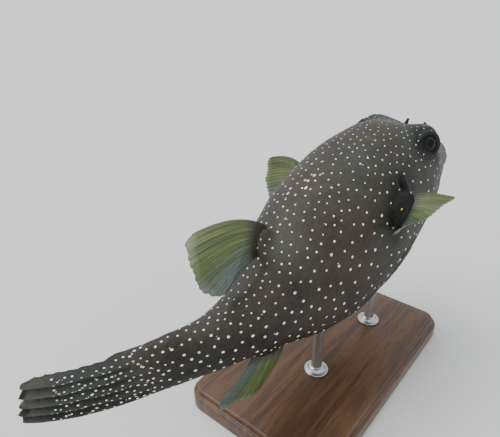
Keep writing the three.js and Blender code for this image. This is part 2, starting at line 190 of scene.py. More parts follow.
def axes_at(station):
    """The section's own axes: back along the spine, to the fish's left, and up."""
    s = np.asarray(station, float)
    yaw = HEAD_YAW * (1 - np.minimum(1, s / HEAD_YAW_END))
    yaw = yaw + TAIL_YAW * smooth(s, TAIL_YAW_START, TAIL_YAW_END)
    yaw = yaw + TAIL_FIN_CURL * np.maximum(0, s - TAIL_YAW_END)
    lift = TAIL_LIFT * smooth(s, TAIL_YAW_START, TAIL_YAW_END)
    tilt = -HEAD_TILT * (1 - smooth(s, HEAD_TILT_START, HEAD_TILT_END))
    back = np.stack((-np.cos(yaw) * np.cos(lift), np.sin(yaw) * np.cos(lift), np.sin(lift)), -1)
    level = np.stack((np.sin(yaw), np.cos(yaw), 0 * yaw), -1)
    left = level * np.cos(tilt)[..., None] + np.cross(back, level) * np.sin(tilt)[..., None]
    return back, left, np.cross(left, back)


def blend_axes(station, way):
    """A direction given as back, to the left and up, at a station."""
    return sum(axis * np.asarray(part)[..., None] for axis, part in zip(axes_at(station), way))


SPINE_STEPS = 300
spine_step = FISH_END / SPINE_STEPS
spine_ways = axes_at((np.arange(SPINE_STEPS) + 0.5) * spine_step)[0]
spine = np.vstack(([[0, 0, 0]], np.cumsum(spine_ways * spine_step * BODY, axis=0)))


def at_station(station, left, up):
    """The place at a station, so far left of the spine's line and above it, in the fish's own frame."""
    along = np.clip(np.asarray(station, float) / FISH_END * SPINE_STEPS, 0, SPINE_STEPS - 1e-6)
    i = along.astype(int)
    middle = spine[i] + (spine[i + 1] - spine[i]) * (along - i)[..., None]
    return middle + blend_axes(station, (0 * along, left + 0 * along, up + 0 * along))


fish_turn = np.array(Matrix.Rotation(-PITCH, 3, "Y") @ Matrix.Rotation(BANK, 3, "X"))
fish_shift = np.array((0, 0, TRUNK_HEIGHT)) - fish_turn @ at_station(BALANCE_STATION, 0, 0)


def to_world(places):
    return places @ fish_turn.T + fish_shift


print("spine ends at", to_world(spine[-1]).round(3))


# %% The body's surface
def head_form(station, angle):
    """How far the head's swellings stand out, in metres."""
    height = 0
    for middle, turn, along, around, rise in HEAD_FORMS:
        apart = [np.abs((angle - side + 540) % 360 - 180) for side in (turn, 180 - turn)]
        round_it = np.exp(-((np.minimum(*apart) / around) ** 2))
        height = height + rise * MM * np.exp(-(((station - middle) / along) ** 2)) * round_it
    return height


def middle_at(station):
    """Height of the section's middle over the spine's line, which drops towards the mouth."""
    return -SNOUT_DROP * (1 - np.minimum(1, station / SNOUT_DROP_END)) ** 2 * BODY


def skin_at(station, angle):
    """The fish's skin at a station and an angle in degrees, in the fish's own frame."""
    station, angle = np.broadcast_arrays(np.asarray(station, float), np.asarray(angle, float))
    side, rise = np.cos(np.radians(angle)), np.sin(np.radians(angle))
    closing = np.sqrt(1 - (1 - np.clip(station / NOSE_ROUND, 0, 1)) ** 2)
    half = np.where(rise > 0, back_line(station), belly_line(station)) * BODY * closing
    left = np.sign(side) * np.abs(side) ** SQUARENESS * half_width_line(station) * BODY * closing
    up = np.sign(rise) * np.abs(rise) ** SQUARENESS * half
    out = head_form(station, angle) * closing
    return at_station(station, left + out * side, middle_at(station) + up + out * rise)


def out_at(station, angle):
    """The way out of the skin at a station and angle."""
    near = 0.01
    along = skin_at(station + near, angle) - skin_at(station - near, angle)
    around = skin_at(station, angle + 4) - skin_at(station, angle - 4)
    return unit(np.cross(along, around))


print("top of the back:", to_world(skin_at(0.5, 90)).round(3))

# %% [markdown]
# ## Small helpers for shaping
# Every new piece starts as one of Blender's primitives. On a free-form animal the primitive's points are
# then moved to where a formula says, as a sculptor would pull clay over an armature, and modifiers finish
# it.

# %% Shaping helpers
def start():
    """Deselects all, so that the next operator acts only on what it makes."""
    if bpy.context.object and bpy.context.object.mode != "OBJECT":
        bpy.ops.object.mode_set(mode="OBJECT")
    bpy.ops.object.select_all(action="DESELECT")


def pick(piece):
    start()
    piece.select_set(True)
    bpy.context.view_layer.objects.active = piece


def points(piece):
    flat = np.empty(len(piece.data.vertices) * 3)
    piece.data.vertices.foreach_get("co", flat)
    return flat.reshape(-1, 3)


def normals(piece):
    flat = np.empty(len(piece.data.vertices) * 3)
    piece.data.vertices.foreach_get("normal", flat)
    return flat.reshape(-1, 3)


def move_points(piece, places):
    piece.data.vertices.foreach_set("co", np.ascontiguousarray(places, float).ravel())
    piece.data.update()


def face_out(piece):
    """Turns the faces of a closed piece outwards."""
    pick(piece)
    bpy.ops.object.mode_set(mode="EDIT")
    bpy.ops.mesh.select_all(action="SELECT")
    bpy.ops.mesh.normals_make_consistent(inside=False)
    bpy.ops.object.mode_set(mode="OBJECT")


def finish_with(piece, kind, **settings):
    """Adds a modifier with its settings and applies it."""
    pick(piece)
    modifier = piece.modifiers.new(kind.lower(), kind)
    for name, value in settings.items():
        setattr(modifier, name, value)
    bpy.ops.object.modifier_apply(modifier=modifier.name)


def attribute(piece, name, values):
    """Keeps a number or a vector for each point of a piece, for its material to read."""
    values = np.ascontiguousarray(values, float)
    kind, key = ("FLOAT", "value") if values.ndim == 1 else ("FLOAT_VECTOR", "vector")
    kept = piece.data.attributes.new(name, kind, "POINT")
    kept.data.foreach_set(key, values.ravel())


def tree_of(places):
    """A search tree that finds the places nearest to a point."""
    tree = kdtree.KDTree(len(places))
    for i, place in enumerate(places):
        tree.insert(place, i)
    tree.balance()
    return tree


def rough(places, size):
    """Smooth seeded noise from about -1 to 1 whose lumps are about so large."""
    return np.array([noise.noise(Vector(place)) for place in places / size + 7.3])


print("helpers ready")

# %% [markdown]
# ## The body
# The body is one skin from the lips to the tips of the tail fin. A sphere has the right topology: its poles
# become the snout and the end of the tail, and its meridians run along the body. The tail fin is nearly
# shut, like a fan, so its sheet is folded into five rounded rolls that end in fingers, the lower ones
# longer.

# %% Body
BODY_MERIDIANS = 144
BODY_RINGS = 300
TAIL_ROLLS = 5
ROLL_DEPTH = 3.4 * MM
FINGER_NOTCH = 0.026  # how far the web between two rolls ends short of their tips, in stations
ROLLS_START, ROLLS_FULL = 1.0, 1.22
BLUNT_EDGE = 0.4  # the tail fin's section is squarer than the body's, so that its edges stay round
FINGERS_END = TAIL_FIN_MIDDLE_END + 0.014  # remeshing takes a little off the thin ends
CREST = 3.4 * MM  # how far the fleshy root stands above the first roll of the fin
CREST_RISES, CREST_ENDS = (0.9, 1.0), (1.075, 1.105)  # from station to station
BLUNT_FROM, BLUNT_FULL = 1.0, 1.1
FOLDS_FROM = 0.98  # the station from which the sheet is stretched into its fingers
NOTCH_ROUNDNESS = 0.96  # 1 is a half circle between two fingers
ROLL_LEVEL = 0.6  # the height on a roll where the sheet keeps its thickness
CLOSING = 0.985  # the sphere's last rings close the cut end of the tail fin, along its own edge


def from_ridge(height_share):
    """0 on the ridge of a roll and 1 in the groove beside it, from the share of the fin's height."""
    phase = height_share * TAIL_ROLLS / 2
    return 2 * np.abs(phase - np.round(phase))


def roll_height(height_share):
    """A rounded roll with a narrow groove on each side of it."""
    return np.cos(np.pi / 2 * from_ridge(height_share)) ** 0.8


def body_at(station, angle):
    """The body's surface with the tail fin's rolls and fingers, in the fish's own frame."""
    share = np.sign(np.sin(np.radians(angle))) * np.abs(np.sin(np.radians(angle))) ** SQUARENESS
    roll = roll_height(share)
    notch = FINGER_NOTCH * (1 - np.sqrt(1 - (NOTCH_ROUNDNESS * np.minimum(1, from_ridge(share))) ** 2))
    end = FINGERS_END - TAIL_FIN_SLANT * share * float(back_line(FISH_END)) - notch
    stretch = np.clip((station - FOLDS_FROM) / (FISH_END - FOLDS_FROM), 0, 1)
    far = np.where(station > FOLDS_FROM, FOLDS_FROM + stretch * (end - FOLDS_FROM), station)
    depth = ROLL_DEPTH * smooth(far, ROLLS_START, ROLLS_FULL) * (roll - ROLL_LEVEL)
    side = np.cos(np.radians(angle))
    blunt = np.sign(side) * (np.abs(side) ** BLUNT_EDGE - np.abs(side) ** SQUARENESS)
    blunt = blunt * half_width_line(far) * BODY * smooth(far, BLUNT_FROM, BLUNT_FULL)
    crest = CREST * smooth(far, *CREST_RISES) * (1 - smooth(far, *CREST_ENDS))
    crest = crest * np.maximum(0, np.sin(np.radians(angle))) ** 2
    return skin_at(far, angle) + blend_axes(far, (0 * depth, blunt - depth, crest))


start()
bpy.ops.mesh.primitive_uv_sphere_add(segments=BODY_MERIDIANS, ring_count=BODY_RINGS, radius=1)
skin = bpy.context.object
skin.name = "fish_skin"
ball = points(skin)
down = np.arccos(np.clip(ball[:, 2], -1, 1)) / np.pi
along = np.minimum(1, down / CLOSING)
turned = np.degrees(np.arctan2(ball[:, 1], ball[:, 0]))
stations = FISH_END * along * (0.4 + 0.6 * along ** 0.7)
places = body_at(stations, turned)
closed = down > CLOSING
inward = (1 - down[closed]) / (1 - CLOSING)
rise = np.arcsin(inward * np.sin(np.radians(turned[closed])))
across = inward * np.cos(np.radians(turned[closed])) / np.cos(rise)
left = body_at(FISH_END, np.degrees(rise))
right = body_at(FISH_END, 180 - np.degrees(rise))
places[closed] = (left + right + across[:, None] * (left - right)) / 2
move_points(skin, to_world(places))
face_out(skin)
print("body:", len(skin.data.polygons), "faces")

# %% [markdown]
# ## Fins, as a plan
# A fin is a fan of rays. Its root runs over the skin from one station and angle to another, its first and
# last rays point their own ways, and a fleshy foot holds the rays' bases. The same numbers serve the foot,
# which is part of the skin, and the thin rayed sheet, which is a piece of its own.

# %% Fin plan
FINS = {
    "dorsal_fin": dict(root=(0.691, 90, 0.745, 90), lead=(0.085, 0, 0.148), trail=(0.405, -0.195, 0.382),
                       lengths=(0.2, 0.2, 0.085), bend=(0.05, 0.047, -0.085), lobe=0.2, foot=7),
    "anal_fin": dict(root=(0.745, -90, 0.825, -90), lead=(0.48, -0.01, -0.91), trail=(0.77, -0.27, -0.41),
                     lengths=(0.089, 0.095, 0.097), bend=(0.057, 0.024, -0.008), lobe=0.3, foot=8),
    "pectoral_fin_right": dict(root=(0.405, 157, 0.455, 180), lead=(-0.47, -1.11, -0.15),
                               trail=(0.5, -0.54, 0.44), lengths=(0.157, 0.115, 0.107),
                               bend=(0.015, 0.035, -0.005), lobe=0.3, foot=12),
    "pectoral_fin_left": dict(root=(0.405, 23, 0.455, 0), lead=(-0.56, 0.56, 0.31),
                              trail=(-0.28, 0.2, 0.1), lengths=(0.165, 0.14, 0.1),
                              bend=(0.075, 0.05, -0.053), lobe=0.3, foot=12),
}
FOOT_TIP = 2.8  # mm thick where a fleshy foot ends


def fin_at(fin, u, v):
    """A place on a fin's middle sheet: u runs from its first ray to its last, v from root to tips."""
    u, v = np.broadcast_arrays(np.asarray(u, float), np.asarray(v, float))
    first_station, first_angle, last_station, last_angle = fin["root"]
    station = first_station + (last_station - first_station) * u
    foot = skin_at(station, first_angle + (last_angle - first_angle) * u)
    way = [lead + (trail - lead) * u for lead, trail in zip(fin["lead"], fin["trail"])]
    first, middle, last = fin["lengths"]
    length = first * (1 - u) * (1 - 2 * u) + middle * 4 * u * (1 - u) + last * u * (2 * u - 1)
    ray = unit(blend_axes(station, way)) * (length * v)[..., None]
    bend = blend_axes(station, [part * v * v for part in fin["bend"]])
    return foot + (ray + bend) * BODY


def fin_out(fin, u, v):
    """The way out of a fin's sheet."""
    near = 0.01
    across = fin_at(fin, u + near, v) - fin_at(fin, u - near, v)
    along = fin_at(fin, u, v + near) - fin_at(fin, u, v - near)
    return unit(np.cross(across, along))


def fleshy_foot(fin):
    """A rounded pad over the root of a fin, from a sphere pressed flat between its rays."""
    start()
    bpy.ops.mesh.primitive_uv_sphere_add(segments=48, ring_count=32, radius=1)
    pad = bpy.context.object
    co = points(pad)
    inner, outer = -0.12, fin["lobe"]
    across = np.sign(co[:, 0]) * np.abs(co[:, 0]) ** 0.8
    along = np.sign(co[:, 1]) * np.abs(co[:, 1]) ** 0.9
    u = 0.5 + 0.5 * across
    v = (inner + outer) / 2 + (outer - inner) / 2 * along
    share = np.clip(v / outer, 0, 1)
    half = (FOOT_TIP + (fin["foot"] - FOOT_TIP) * (1 - share) ** 1.4) / 2 * MM
    move_points(pad, to_world(fin_at(fin, u, v) + fin_out(fin, u, v) * (half * co[:, 2])[:, None]))
    face_out(pad)
    return pad


feet = [fleshy_foot(fin) for fin in FINS.values()]
print("fleshy feet:", len(feet))

# %% [markdown]
# ## Eyes, nostrils and mouth: where they sit
# The eyes stand high on the sides of the head, each a ball sunk in the flesh and held by a thick round lid.
# In front of each eye a nostril carries a short forked flap. The mouth is small, with thick lips round a
# beak.

# %% Places on the head
EYE_STATION, EYE_ANGLE = 0.217, 40
EYE_RADIUS = 8.5 * MM
EYE_PROUD = {"left": 1.8 * MM, "right": 3.2 * MM}  # a puffer draws an eye in as it likes
LOOKS_BACK = {"left": -0.12, "right": 0.2}  # how far an eye is turned towards the tail, against straight out
LID_RADIUS = 7.4 * MM
LID_THICKNESS = 1.9 * MM
NOSTRIL_STATION, NOSTRIL_ANGLE, NOSTRIL_HEIGHT = 0.12, 69, 5.5 * MM
GILL_STATION, GILL_ANGLE = 0.388, 24
BEAK_DEPTH, BEAK_HALF_WIDTH, BEAK_HALF_HEIGHT = 9 * MM, 6.2 * MM, 4.2 * MM
BEAK_PROUD = 1.4 * MM
SIDES = {"left": lambda angle: angle, "right": lambda angle: 180 - angle}


def turn_to(way, up=(0, 0, 1)):
    """The turn that lays +Z along a way, with +Y as near up as can be."""
    z = Vector(way).normalized()
    x = Vector(up).cross(z).normalized()
    return Matrix((x, z.cross(x), z)).transposed()


def world_way(way):
    return unit(np.asarray(way) @ fish_turn.T)


eye_places = {}
for side, mirrored in SIDES.items():
    out = out_at(EYE_STATION, mirrored(EYE_ANGLE))
    centre = skin_at(EYE_STATION, mirrored(EYE_ANGLE)) + out * (EYE_PROUD[side] - EYE_RADIUS)
    gaze = unit(out + LOOKS_BACK[side] * axes_at(EYE_STATION)[0])
    eye_places[side] = (to_world(centre), world_way(gaze))
mouth_forward = world_way(-axes_at(0.0)[0])
mouth_left = world_way(axes_at(0.0)[1])
mouth_up = world_way(axes_at(0.0)[2])
mouth_middle = to_world(at_station(0.0, 0, middle_at(0.0))) - mouth_forward * (BEAK_DEPTH - BEAK_PROUD)
print("eyes at", {side: place[0].round(3).tolist() for side, place in eye_places.items()})

# %% [markdown]
# ## One skin
# The lids, the lips and the feet of the fins are joined to the body and remeshed as one, which fuses them as
# flesh does, with no seam. The mouth and the gill openings are first cut out of the body. A few rounds of
# smoothing then soften the remesh, most of all where a foot grows out of the body.

# %% Cut the mouth and the gills
def cutter(centre, turn, half_sizes):
    start()
    bpy.ops.mesh.primitive_uv_sphere_add(segments=48, ring_count=32, radius=1)
    tool = bpy.context.object
    move_points(tool, points(tool) * half_sizes @ np.array(turn).T + centre)
    return tool


mouth_turn = np.stack((mouth_left, mouth_up, mouth_forward), 1)
MOUTH_HOLE = np.array((7.2, 4.6, 11)) * MM
tools = [cutter(mouth_middle, mouth_turn, MOUTH_HOLE)]
GILL_SLIT = np.array((1.3, 6.8, 4.5)) * MM  # half its width, height and depth
for mirrored in SIDES.values():
    hole = to_world(skin_at(GILL_STATION, mirrored(GILL_ANGLE)))
    out = world_way(out_at(GILL_STATION, mirrored(GILL_ANGLE)))
    slit_turn = np.array(turn_to(out, fish_turn @ axes_at(GILL_STATION)[2]))
    tools.append(cutter(hole, slit_turn, GILL_SLIT))
for tool in tools:
    pick(skin)
    cut = skin.modifiers.new("cut", "BOOLEAN")
    cut.operation = "DIFFERENCE"
    cut.object = tool
    bpy.ops.object.modifier_apply(modifier=cut.name)
    bpy.data.objects.remove(tool)
print("openings cut:", len(tools))


# %% Lids and lips
def ring(centre, turn, radius, thickness, stretch=(1, 1, 1)):
    """A rounded ring, for a lid or lips."""
    start()
    bpy.ops.mesh.primitive_torus_add(major_radius=radius, minor_radius=thickness,
                                     major_segments=64, minor_segments=16)
    made = bpy.context.object
    move_points(made, points(made) * stretch @ np.array(turn).T + centre)
    return made


rings = []
for centre, gaze in eye_places.values():
    rim = math.sqrt(EYE_RADIUS ** 2 - (LID_RADIUS - LID_THICKNESS * 0.6) ** 2)
    rings.append(ring(centre + gaze * rim, turn_to(gaze), LID_RADIUS, LID_THICKNESS))
LIP_RADIUS, LIP_THICKNESS = 6.0 * MM, 2.5 * MM
LIP_BEHIND_BEAK = 2.6 * MM
LIP_STRETCH = (1.25, 0.92, 1.1)
lip_middle = mouth_middle + mouth_forward * (BEAK_DEPTH - LIP_BEHIND_BEAK)
rings.append(ring(lip_middle, mouth_turn, LIP_RADIUS, LIP_THICKNESS, LIP_STRETCH))
print("lids and lips:", len(rings))

# %% Fuse the skin
SKIN_VOXEL = 1.1 * MM
start()
for part in feet + rings:
    part.select_set(True)
skin.select_set(True)
bpy.context.view_layer.objects.active = skin
bpy.ops.object.join()
finish_with(skin, "REMESH", mode="VOXEL", voxel_size=SKIN_VOXEL, adaptivity=0)
finish_with(skin, "SMOOTH", factor=0.5, iterations=4)
print("skin:", len(skin.data.polygons), "faces")


# %% Soften the roots of the fins and the edges of the tail fin
root_places = np.vstack([to_world(fin_at(fin, np.linspace(-0.1, 1.1, 25), 0.03)) for fin in FINS.values()])
root_tree = tree_of(root_places)
edge_stations = np.linspace(1, FISH_END, 90)
edge_tree = tree_of(np.vstack([to_world(body_at(edge_stations, edge)) for edge in (90, -90)]))
skin_points = points(skin)
from_root = np.array([root_tree.find(place)[2] for place in skin_points])
from_edge = np.array([edge_tree.find(place)[2] for place in skin_points])
softness = np.maximum(1 - smooth(from_root, 5 * MM, 9 * MM), 1 - smooth(from_edge, 3 * MM, 5 * MM))
softened = skin.vertex_groups.new(name="soft_places")
for i in np.flatnonzero(softness):
    softened.add([int(i)], float(softness[i]), "REPLACE")
finish_with(skin, "SMOOTH", factor=0.5, iterations=20, vertex_group="soft_places")
skin.vertex_groups.clear()
print("softened points:", np.count_nonzero(softness))

# %% [markdown]
# ## Where each point of the skin is on the fish
# Folds, colours and spots follow the body, so each point needs its station and angle. They are taken from
# the nearest samples of the body's own surface, weighted by nearness.

# %% Station and angle of each point
sample_stations, sample_angles = [grid.ravel() for grid in np.meshgrid(
    np.linspace(0.001, FISH_END - 0.03, 230), np.arange(-180, 180, 4.0), indexing="ij")]
sample_places = to_world(body_at(sample_stations, sample_angles))
body_tree = tree_of(sample_places)
skin_points = points(skin)
station_of = np.empty(len(skin_points))
turn_of = np.empty((len(skin_points), 2))
for i, place in enumerate(skin_points):
    found = body_tree.find_n(place, 4)
    near = [item[1] for item in found]
    weight = 1 / (np.array([item[2] for item in found]) + 0.3 * MM)
    weight /= weight.sum()
    station_of[i] = sample_stations[near] @ weight
    angles = np.radians(sample_angles[near])
    turn_of[i] = np.cos(angles) @ weight, np.sin(angles) @ weight
angle_of = np.degrees(np.arctan2(turn_of[:, 1], turn_of[:, 0]))
rise_of = turn_of[:, 1] / np.linalg.norm(turn_of, axis=1)
print("stations from", station_of.min().round(3), "to", station_of.max().round(3))

# %% [markdown]
# ## Sculpting
# Puffer skin is loose and tough. It folds round the eyes, the lips and the gill openings, and it wrinkles
# on the belly, which fills with water when the fish puffs up. Each point is pushed in or out along its
# normal.


# %% Sculpt the folds
def bump(distance, middle, width):
    return np.exp(-(((distance - middle) / width) ** 2))


push = 0.35 * MM * rough(skin_points, 17 * MM) + 0.12 * MM * rough(skin_points, 5 * MM)
push *= smooth(station_of, 0.02, 0.1)
out_of = normals(skin)

# round the eyes: a groove outside the lid and fainter ones after it, deeper below and behind
EYE_FOLDS = ((10.6, 0.75), (13.2, 0.4), (15.9, 0.3))  # radius and depth in mm
eye_gap = np.full(len(skin_points), 1.0)
for centre, gaze in eye_places.values():
    apart = skin_points - centre
    high = apart @ gaze
    across = np.linalg.norm(apart - high[:, None] * gaze, axis=1)
    here = (high > -4 * MM) & (across < 30 * MM)
    eye_gap = np.where(here, np.minimum(eye_gap, across), eye_gap)
    wobble = 0.8 * MM * rough(skin_points + centre, 9 * MM)
    for radius, depth in EYE_FOLDS:
        push -= here * depth * MM * bump(across + wobble, radius * MM, 0.9 * MM)

# the lips: fine grooves across them and a fold behind them
from_mouth = skin_points - mouth_middle
ahead = from_mouth @ mouth_forward
mouth_x, mouth_y = from_mouth @ mouth_left, from_mouth @ mouth_up
round_mouth = np.arctan2(mouth_y * 1.3, mouth_x)
mouth_off = np.hypot(mouth_x / LIP_STRETCH[0], mouth_y / LIP_STRETCH[1])
lips = bump(ahead, BEAK_DEPTH - 2 * MM, 5 * MM) * bump(mouth_off, 7 * MM, 4 * MM)
push += 0.22 * MM * lips * np.cos(22 * round_mouth + 2 * rough(skin_points, 6 * MM))
mouth_gap = np.linalg.norm(from_mouth, axis=1)
push -= 0.9 * MM * bump(mouth_gap + 0.8 * MM * rough(skin_points, 8 * MM), 14 * MM, 1.5 * MM)

# the gill openings: a raised flap before each and a fold behind
gill_gap = np.full(len(skin_points), 1.0)
for mirrored in SIDES.values():
    slit = to_world(skin_at(GILL_STATION, mirrored(GILL_ANGLE)))
    before = (station_of - GILL_STATION) * BODY
    near_slit = np.linalg.norm(skin_points - slit, axis=1)
    gill_gap = np.minimum(gill_gap, near_slit)
    push += 1.3 * MM * bump(before, -4.5 * MM, 3 * MM) * bump(near_slit, 0, 10 * MM)

# the belly's wrinkles, which run along the fish, waver, fork and die out
belly_share = smooth(-rise_of, 0.05, 0.55) * smooth(station_of, 0.2, 0.4)
belly_share *= 1 - smooth(station_of, 0.66, 0.8)
lower = np.minimum(np.abs(angle_of + 90), 90) / 90
girth = lower * 95 * MM
waver = 5 * rough(skin_points, 34 * MM) + 2.4 * rough(skin_points, 11 * MM)
fading = smooth(rough(skin_points + 0.3, 21 * MM), -0.35, 0.25)
push += 0.45 * MM * belly_share * fading * np.cos(2 * np.pi * girth / (6.5 * MM) + waver)

# a shallow groove along the middle of the tail's muscles
beside = np.abs(rise_of) * 14 * MM
groove = 0.6 * MM * bump(beside, 0, 3 * MM) * smooth(station_of, 0.7, 0.8)
push -= groove * (1 - smooth(station_of, 0.98, 1.05))
move_points(skin, skin_points + out_of * push[:, None])
skin_points = points(skin)
out_of = normals(skin)
print("pushed by", (push.min() / MM).round(2), "to", (push.max() / MM).round(2), "mm")

# %% [markdown]
# ## White spots
# A guineafowl puffer is named for its spots. Each is a crisp white dot with a darker rim. They keep their
# distance from each other, as cells that crowd each other out do, so they are thrown at random and each
# stays only where no other is too near. They are largest and widest apart on the belly and smallest on the
# snout and the tail fin, where they also stretch along the rays. Painting them on the mesh points would
# blur them, so each point keeps its offset from the nearest spot's middle, in radii. The offset runs
# exactly straight between points, and the material draws a true round edge where its length is one.

# %% Size and spacing of the spots
SPOT_SEED = 11
# station: spacing along the flank, spot radius, both in mm, and how much longer than wide a spot is
FLANK_SPOTS = [(0, 3.2, 0.33, 1), (0.1, 4.6, 0.38, 1), (0.2, 6.8, 0.48, 1.05), (0.34, 8.6, 0.74, 1.1),
               (0.5, 9.3, 0.89, 1.05), (0.66, 8.4, 0.87, 1.05), (0.8, 7.1, 0.8, 1.1), (0.95, 5.6, 0.68, 1.2),
               (1.06, 3.6, 0.45, 1.6), (1.3, 3.0, 0.41, 1.8)]
BACK_SHARE = 0.64  # spots on the back, against the flank's
spacing_line = curve([(row[0], row[1]) for row in FLANK_SPOTS])
radius_line = curve([(row[0], row[2]) for row in FLANK_SPOTS])
stretch_line = curve([(row[0], row[3]) for row in FLANK_SPOTS])
back_share = 1 - (1 - BACK_SHARE) * smooth(rise_of, 0.1, 0.85) * (1 - smooth(station_of, 0.85, 1))
spacing_of = spacing_line(station_of) * back_share * MM
roll_of = roll_height(np.sign(rise_of) * np.abs(rise_of) ** SQUARENESS)
print("spots", spacing_of.min().round(4), "to", spacing_of.max().round(4), "m apart")

# %% Throw the spots
chance = np.random.default_rng(SPOT_SEED)
lobe_tree = tree_of(np.vstack([
    to_world(fin_at(FINS["pectoral_fin_" + side], u, v))
    for side in SIDES for u in np.linspace(0, 1, 9) for v in (0.08, 0.14, 0.2, 0.26, 0.32)]))
lobe_gap = np.array([lobe_tree.find(place)[2] for place in skin_points])
# the gill openings and the roots of the pectoral fins are left without spots, so that their painted shade
# stays dark
no_spots = (gill_gap < 8 * MM) | (lobe_gap < 8.5 * MM)
no_spots |= (mouth_off < 7.5 * MM) & (ahead > 0)
no_spots |= eye_gap < 9.2 * MM
no_spots |= (station_of > 1.08) & (roll_of < 0.5)  # the grooves of the tail fin
no_spots |= station_of > 1.23 + 0.012 * rough(skin_points, 12 * MM)
cell = 9 * MM
next_to = (-1, 0, 1)
kept_in = {}
spots = []
for i in chance.permutation(len(skin_points)):
    if no_spots[i]:
        continue
    place, gap = skin_points[i], spacing_of[i] * chance.uniform(0.84, 1.04)
    key = tuple((place // cell).astype(int))
    around = [(key[0] + a, key[1] + b, key[2] + c) for a in next_to for b in next_to for c in next_to]
    near = [j for block in around for j in kept_in.get(block, ())]
    if near:
        apart = np.linalg.norm(skin_points[near] - place, axis=1)
        if ((apart < gap) & (out_of[near] @ out_of[i] > -0.2)).any():
            continue
    kept_in.setdefault(key, []).append(i)
    spots.append(i)
print("spots:", len(spots))

# %% Sizes of the spots, and small companions beside a few
sized = []  # middle, point of the skin, radius, stretch along the fish, yellowness
for i in spots:
    middle = skin_points[i] + out_of[i] * 0.1 * MM
    size = float(radius_line(station_of[i])) * float(back_share[i]) * chance.uniform(0.78, 1.16) * MM
    longer = float(stretch_line(station_of[i])) * chance.uniform(0.92, 1.12)
    sized.append((middle, i, size, longer, 0))
    if chance.random() < 0.07:
        beside = unit(np.cross(out_of[i], chance.normal(size=3)))
        sized.append((middle + beside * size * chance.uniform(2.0, 2.8), i, size * 0.5, 1, 0))
print("with companions:", len(sized))

# %% A few marks of this fish's own
# Cream scuffs lie in a small patch by the ridge of the back, thrown from a seed of their own, and a row of
# yellow flecks steps down behind the right gill slit.
SCUFF_SEED = 4
SCUFFS = 8
SCUFF_STATION, SCUFF_SPREAD_ALONG = 0.57, 0.02
SCUFF_ANGLE, SCUFF_SPREAD_ROUND = 94, 5  # degrees, just to the right of the ridge
FLECKS = 3
FLECK_BEHIND_GILL, FLECK_STEP_BACK, FLECK_STEP_DOWN = 0.02, 0.03, 10  # stations, stations, degrees

scuff_chance = np.random.default_rng(SCUFF_SEED)
marks = []  # station, angle, radius in mm, stretch along the fish, yellowness
for _ in range(SCUFFS):
    station = scuff_chance.normal(SCUFF_STATION, SCUFF_SPREAD_ALONG)
    angle = scuff_chance.normal(SCUFF_ANGLE, SCUFF_SPREAD_ROUND)
    marks.append((station, angle, scuff_chance.uniform(0.5, 1.0), scuff_chance.uniform(1, 1.8), 0.5))
for step in range(FLECKS):
    station = GILL_STATION + FLECK_BEHIND_GILL + step * FLECK_STEP_BACK
    angle = SIDES["right"](GILL_ANGLE) + step * FLECK_STEP_DOWN
    marks.append((station, angle, 0.5, 1.5, 0.9))
for station, angle, radius, longer, yellow in marks:
    spot_on = to_world(skin_at(station, angle))
    outward = world_way(out_at(station, angle))
    off_line = skin_points - spot_on
    stands_out = off_line @ outward
    i = int(np.argmin(np.linalg.norm(off_line - stands_out[:, None] * outward, axis=1)
                      + 0.5 * np.abs(stands_out - 4 * MM)))
    sized.append((skin_points[i], i, radius * MM, longer, yellow))
print("marks:", len(marks))

# %% Give each point its offset from the nearest spot of each layer
# Between two spots the offset swings from one to the other and would draw a false spot half-way. So the
# spots are dealt to three layers, far apart in each, and a second number, the plain distance less the width
# of a face, holds the false ones off without touching the true ones.
LAYERS = 3
EDGE = 1.9 * MM  # longer than any edge of the mesh
FACE = 0.85 * MM  # how far a face's corners can lie from its middle
skin_tree = tree_of(skin_points)
middles = np.array([spot[0] for spot in sized])
spot_tree = tree_of(middles)
layer_of = np.full(len(sized), -1)
for k, middle in enumerate(middles):
    nearest = [1.0] * LAYERS
    for place, j, apart in spot_tree.find_n(middle, 24):
        if layer_of[j] >= 0:
            nearest[layer_of[j]] = min(nearest[layer_of[j]], apart)
    layer_of[k] = int(np.argmax(nearest))
offsets = np.full((LAYERS, len(skin_points), 3), 8.0)
holds = np.full((LAYERS, len(skin_points)), 8.0)
reached = np.full((LAYERS, len(skin_points)), 8.0)
yellowness = np.zeros(len(skin_points))
for (middle, i, size, longer, yellow), layer in zip(sized, layer_of):
    along = world_way(axes_at(station_of[i])[0])
    along = unit(along - out_of[i] * (along @ out_of[i]))
    for place, j, apart in skin_tree.find_range(middle, size * longer + EDGE):
        if out_of[j] @ out_of[i] < -0.2:
            continue
        offset = skin_points[j] - middle
        offset = (offset - along * (offset @ along) * (1 - 1 / longer)) / size
        far = np.linalg.norm(offset)
        if far < reached[layer, j]:
            reached[layer, j] = far
            offsets[layer, j] = offset
            holds[layer, j] = far - FACE / size
        yellowness[j] = max(yellowness[j], yellow * (apart < size * longer + FACE))
for layer in range(LAYERS):
    attribute(skin, f"spot_offset_{layer}", offsets[layer])
    attribute(skin, f"spot_hold_{layer}", holds[layer])
attribute(skin, "yellowness", yellowness)
print("spots in each layer:", np.bincount(layer_of).tolist())
